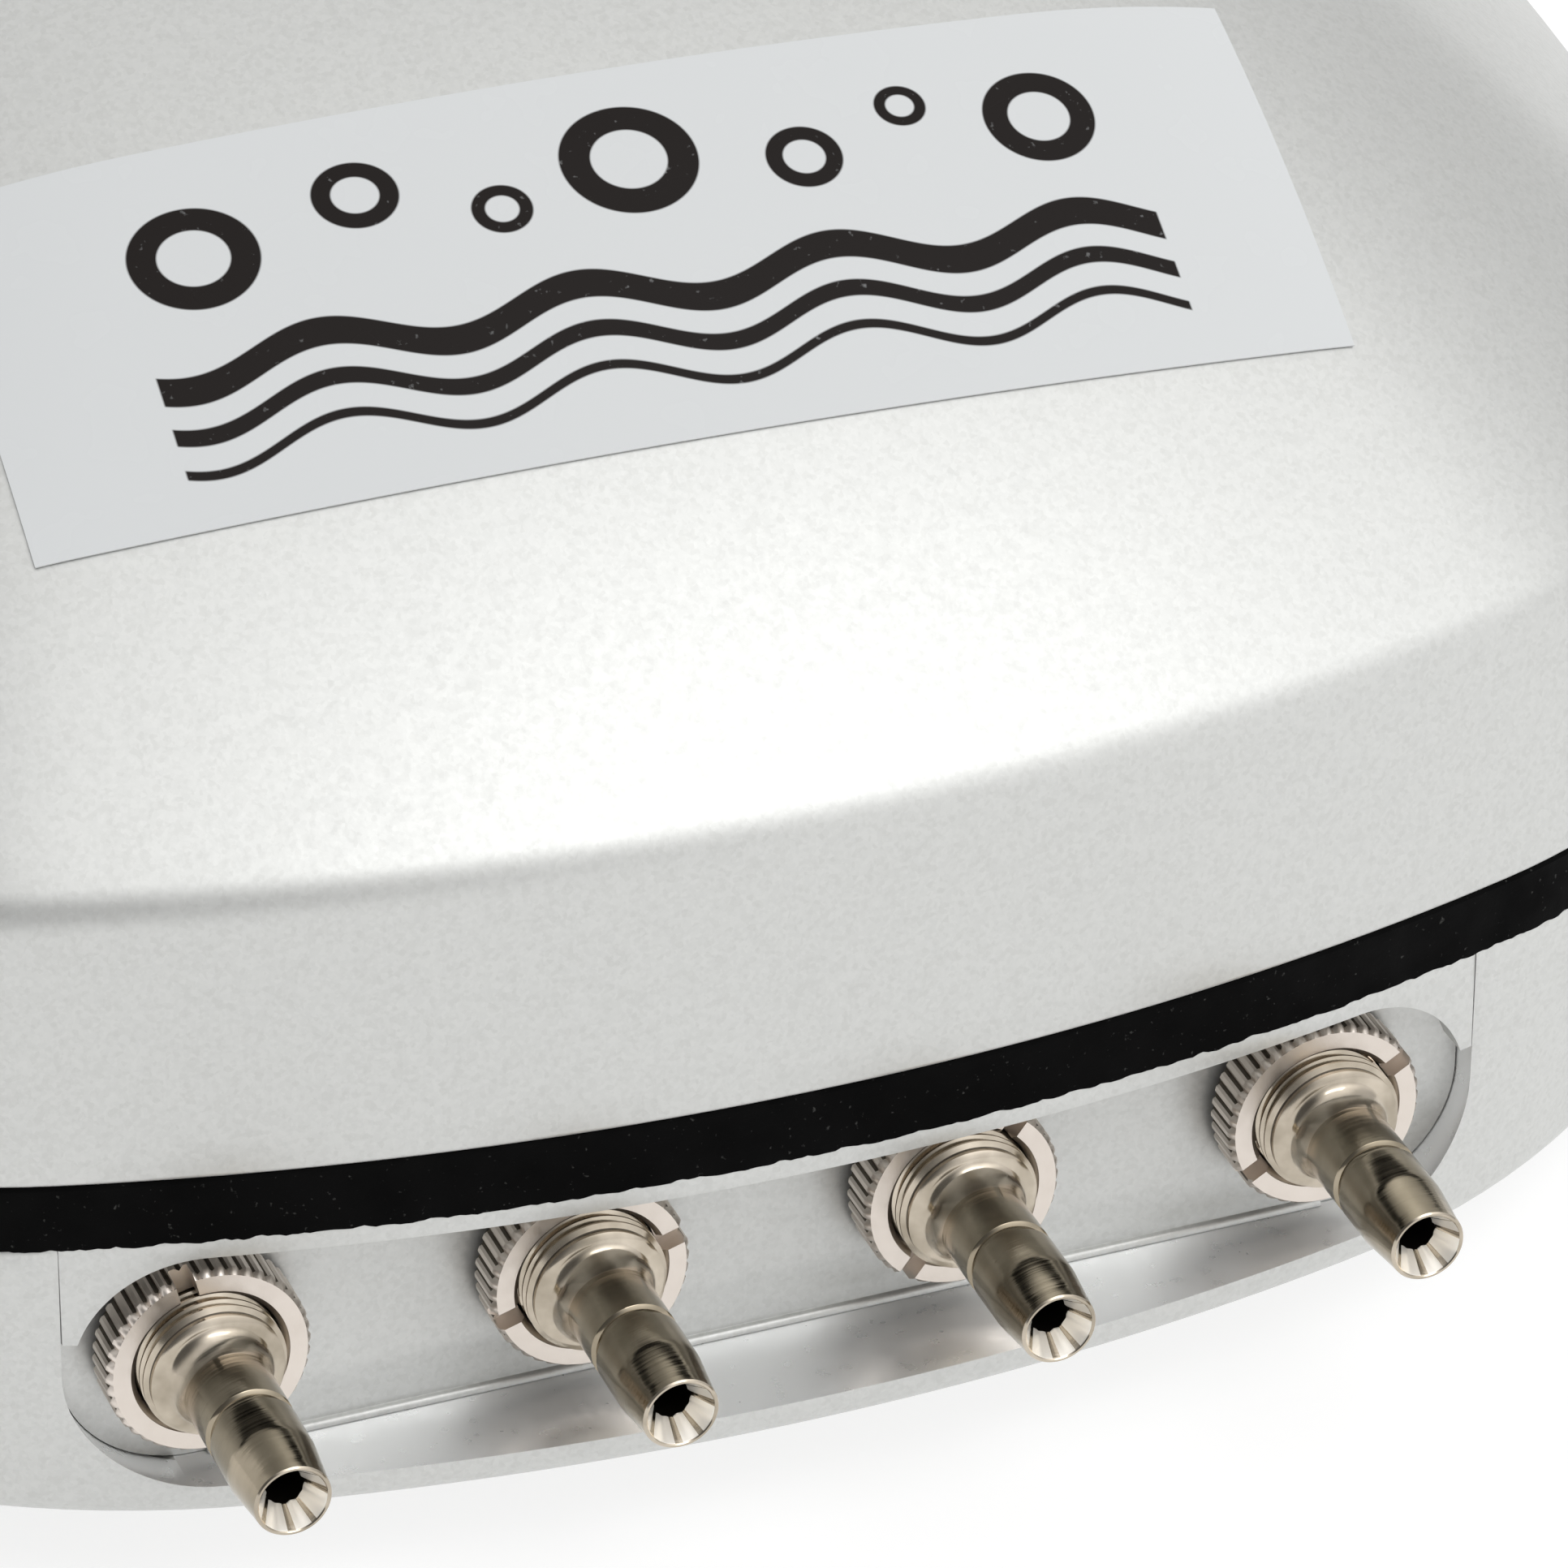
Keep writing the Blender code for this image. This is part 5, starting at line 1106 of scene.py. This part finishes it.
def cable_gland(material):
    """Gland with a flange, ribs that let it flex, and a round mouth."""
    box = Box("cable_gland")
    spot, radius, start, end = box.middle, box.radius, box.low[1], box.high[1]
    wall = HALF_LENGTH + SLIT
    flange = wall + 3 * MM
    profile = [
        (3.3 * MM, start), (5.5 * MM, start), (5.5 * MM, wall), (radius - 0.5 * MM, wall),
        (radius, wall + 0.5 * MM), (radius, flange - 0.8 * MM), (radius - 0.7 * MM, flange - 0.1 * MM),
        (6.7 * MM, flange), (6.5 * MM, flange + 0.3 * MM),
    ]
    along = flange + 0.6 * MM
    while along < end - 2.2 * MM:
        profile += [(6.5 * MM, along), (5.6 * MM, along + 0.25 * MM)]
        profile += [(5.6 * MM, along + 0.75 * MM), (6.4 * MM, along + MM)]
        along += 1.5 * MM
    profile += [(6.2 * MM, end - 1.2 * MM), (5.4 * MM, end - 0.2 * MM), (4.8 * MM, end)]
    profile += [(3.9 * MM, end), (3.5 * MM, end - 0.2 * MM), (3.3 * MM, end - 0.7 * MM)]
    gland = turned("lead_gland", profile, material, (spot.x, 0, spot.z), (0, 1, 0), 72)
    settle(gland, box.node)


# ---- works inside ----
def diaphragms(material):
    """Rolled rubber diaphragms that flex between the valve box and the arm's stud."""
    roll = [  # radius, and distance from the middle plane
        (1.8, 21.8), (6.2, 21.8), (7.4, 22.6), (8.2, 24.0), (9.6, 25.0), (11.5, 25.3), (12.6, 26.3),
        (13.2, 27.8), (13.4, 29.4), (16.0, 29.4), (16.0, 31.7), (12.0, 31.7), (11.8, 29.6), (11.2, 28.3),
        (10.2, 27.3), (8.4, 26.8), (7.0, 26.2), (6.0, 25.3), (5.5, 25.0), (1.8, 25.0),
    ]
    for word, side in (("left", -1), ("right", 1)):
        node = f"diaphragm_{word}"
        spot = Box(node).middle
        profile = [(radius * MM, along * MM) for radius, along in roll]
        sheet = turned(f"diaphragm_sheet_{word}", profile, material, (0, spot.y, spot.z), (side, 0, 0), 64)
        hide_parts(node)
        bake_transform(sheet)


def dress(material, *nodes):
    """Give carried-over CAD nodes a material."""
    for node in nodes:
        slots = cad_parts[node].data.materials
        if not slots:
            slots.append(material)
        for i in range(len(slots)):
            slots[i] = material


def both(*names):
    """Left and right node of each name."""
    return [f"{name}_{word}" for name in names for word in ("left", "right")]


def works(soft, plated, grey):
    """Materials of the pieces inside the casing."""
    dress(grey, "terminal_block", "outlet_manifold", "pump_frame", *both("valve_box", "valve_cover"))
    dress(plastic("bobbin_plastic", (0.62, 0.59, 0.53)), "coil_bobbin")
    dress(felt(), "intake_filter")
    dress(laminated_steel(), "magnet_core")
    dress(copper_wire(), "coil_winding")
    dress(brushed_aluminium(), *both("swing_arm"))
    dress(ferrite(), *both("arm_magnet"))
    dress(plated, "core_clamp", *both("core_screw", "pivot_pin", "diaphragm_stud"))
    grommets = [f"frame_grommet_{i}" for i in range(1, 5)]
    dress(soft, *both("pivot_bush", "outlet_flap", "inlet_flap", "air_hose"), *grommets)
    diaphragms(soft)


# ---- stage ----
# Direction, where the glow starts and is full (as cosines), and how much it adds.
SKY_LOBES = (
    ((0, 0, 1), -1.0, -0.9, 0.90),
    ((0.31, -0.48, 0.82), 0.72, 1.0, 0.71),
    ((0.42, -0.76, 0.50), 0.80, 1.0, 0.30),
    ((0.92, 0.38, 0.05), 0.62, 1.0, -0.28),
    ((-0.64, -0.68, 0.34), 0.55, 0.95, -0.74),
)


def floor():
    """Pale studio floor that stays bright under the pump."""
    glow = dict(emission_color=(1, 1, 1, 1), emission_strength=0.70)
    made = Finish("pale_floor", (0.38, 0.38, 0.38), 0.8, specular_ior_level=0.1, **glow)
    made.rough(made.noise(30 * MM, 2), 0.75, 0.85)
    half = 6.0
    corners = [(-half, -half, 0), (half, -half, 0), (half, half, 0), (-half, half, 0)]
    ground = add_piece("studio_floor", corners, [(0, 1, 2, 3)], made.material)


def area_light(name, place, target, size, power):
    """Soft rectangular lamp that faces a point."""
    data = bpy.data.lights.new(name, "AREA")
    data.shape = "RECTANGLE"
    data.size, data.size_y = size
    data.energy = power
    lamp = link(name, data)
    lamp.location = place
    lamp.rotation_euler = (Vector(target) - Vector(place)).to_track_quat("-Z", "Y").to_euler()


def studio():
    """White tent: brightest high in front, dimmer to the front left and behind to the right."""
    scene = bpy.context.scene
    scene.view_settings.view_transform = "Standard"
    world = bpy.data.worlds.new("studio")
    world.use_nodes = True
    scene.world = world
    tree = world.node_tree
    place = tree.nodes.new("ShaderNodeTexCoord")
    light = None
    for way, start, end, amount in SKY_LOBES:
        near = tree.nodes.new("ShaderNodeVectorMath")
        near.operation = "DOT_PRODUCT"
        near.inputs[1].default_value = Vector(way).normalized()
        tree.links.new(place.outputs["Generated"], near.inputs[0])
        lobe = tree.nodes.new("ShaderNodeMapRange")
        lobe.interpolation_type = "SMOOTHSTEP"
        set_range(lobe, start, end, 0.0, amount)
        tree.links.new(near.outputs["Value"], lobe.inputs["Value"])
        total = tree.nodes.new("ShaderNodeMath")
        total.inputs[0].default_value = 0.0
        if light:
            tree.links.new(light, total.inputs[0])
        tree.links.new(lobe.outputs["Result"], total.inputs[1])
        light = total.outputs[0]
    background = tree.nodes["Background"]
    background.inputs["Color"].default_value = (1, 1, 1, 1)
    tree.links.new(light, background.inputs["Strength"])
    area_light("front_softbox", (0.35, -0.9, 1.3), (0, -0.06, 0.05), (0.9, 0.5), 3.0)


def camera():
    """Camera in front, a little to the left and above, placed from the middle of the nut row."""
    nuts = [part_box(f"ring_nut_{i}") for i in range(1, 5)]
    row_x = sum(low[0] + high[0] for low, high in nuts) / 8
    middle = Vector((row_x, nuts[0][0][1], (nuts[0][0][2] + nuts[0][1][2]) / 2))
    data = bpy.data.cameras.new("camera")
    data.lens = CAMERA_LENS
    data.sensor_width = 36
    data.clip_start = 0.05
    made = link("camera", data)
    look = CAMERA_LOOK.normalized()
    right = look.cross(Vector((0, 0, 1))).normalized()
    up = right.cross(look)
    turn = Matrix((right, up, -look)).transposed().to_4x4()
    made.matrix_world = Matrix.Translation(middle + CAMERA_FROM_NUTS) @ turn
    bpy.context.scene.camera = made


def build():
    """The whole visual model."""
    camera()
    studio()
    floor()
    paint = silver_paint()
    black = rubber("black_rubber")
    plated = zinc()
    grey = plastic("grey_plastic", (0.10, 0.105, 0.11))
    upper_casing(paint)
    lower_casing(paint)
    outlet_panel(paint)
    casing_gasket(rubber("gasket_rubber", 0.4))
    outlet_nozzles(nickel("nickel_plate", (0.62, 0.55, 0.455)))
    ring_nuts(nut_nickel())
    front_label()
    rubber_feet(black)
    casing_screws(plated)
    filter_cap(grey)
    cable_gland(black)
    works(rubber("works_rubber", 0.5), plated, grey)


build()
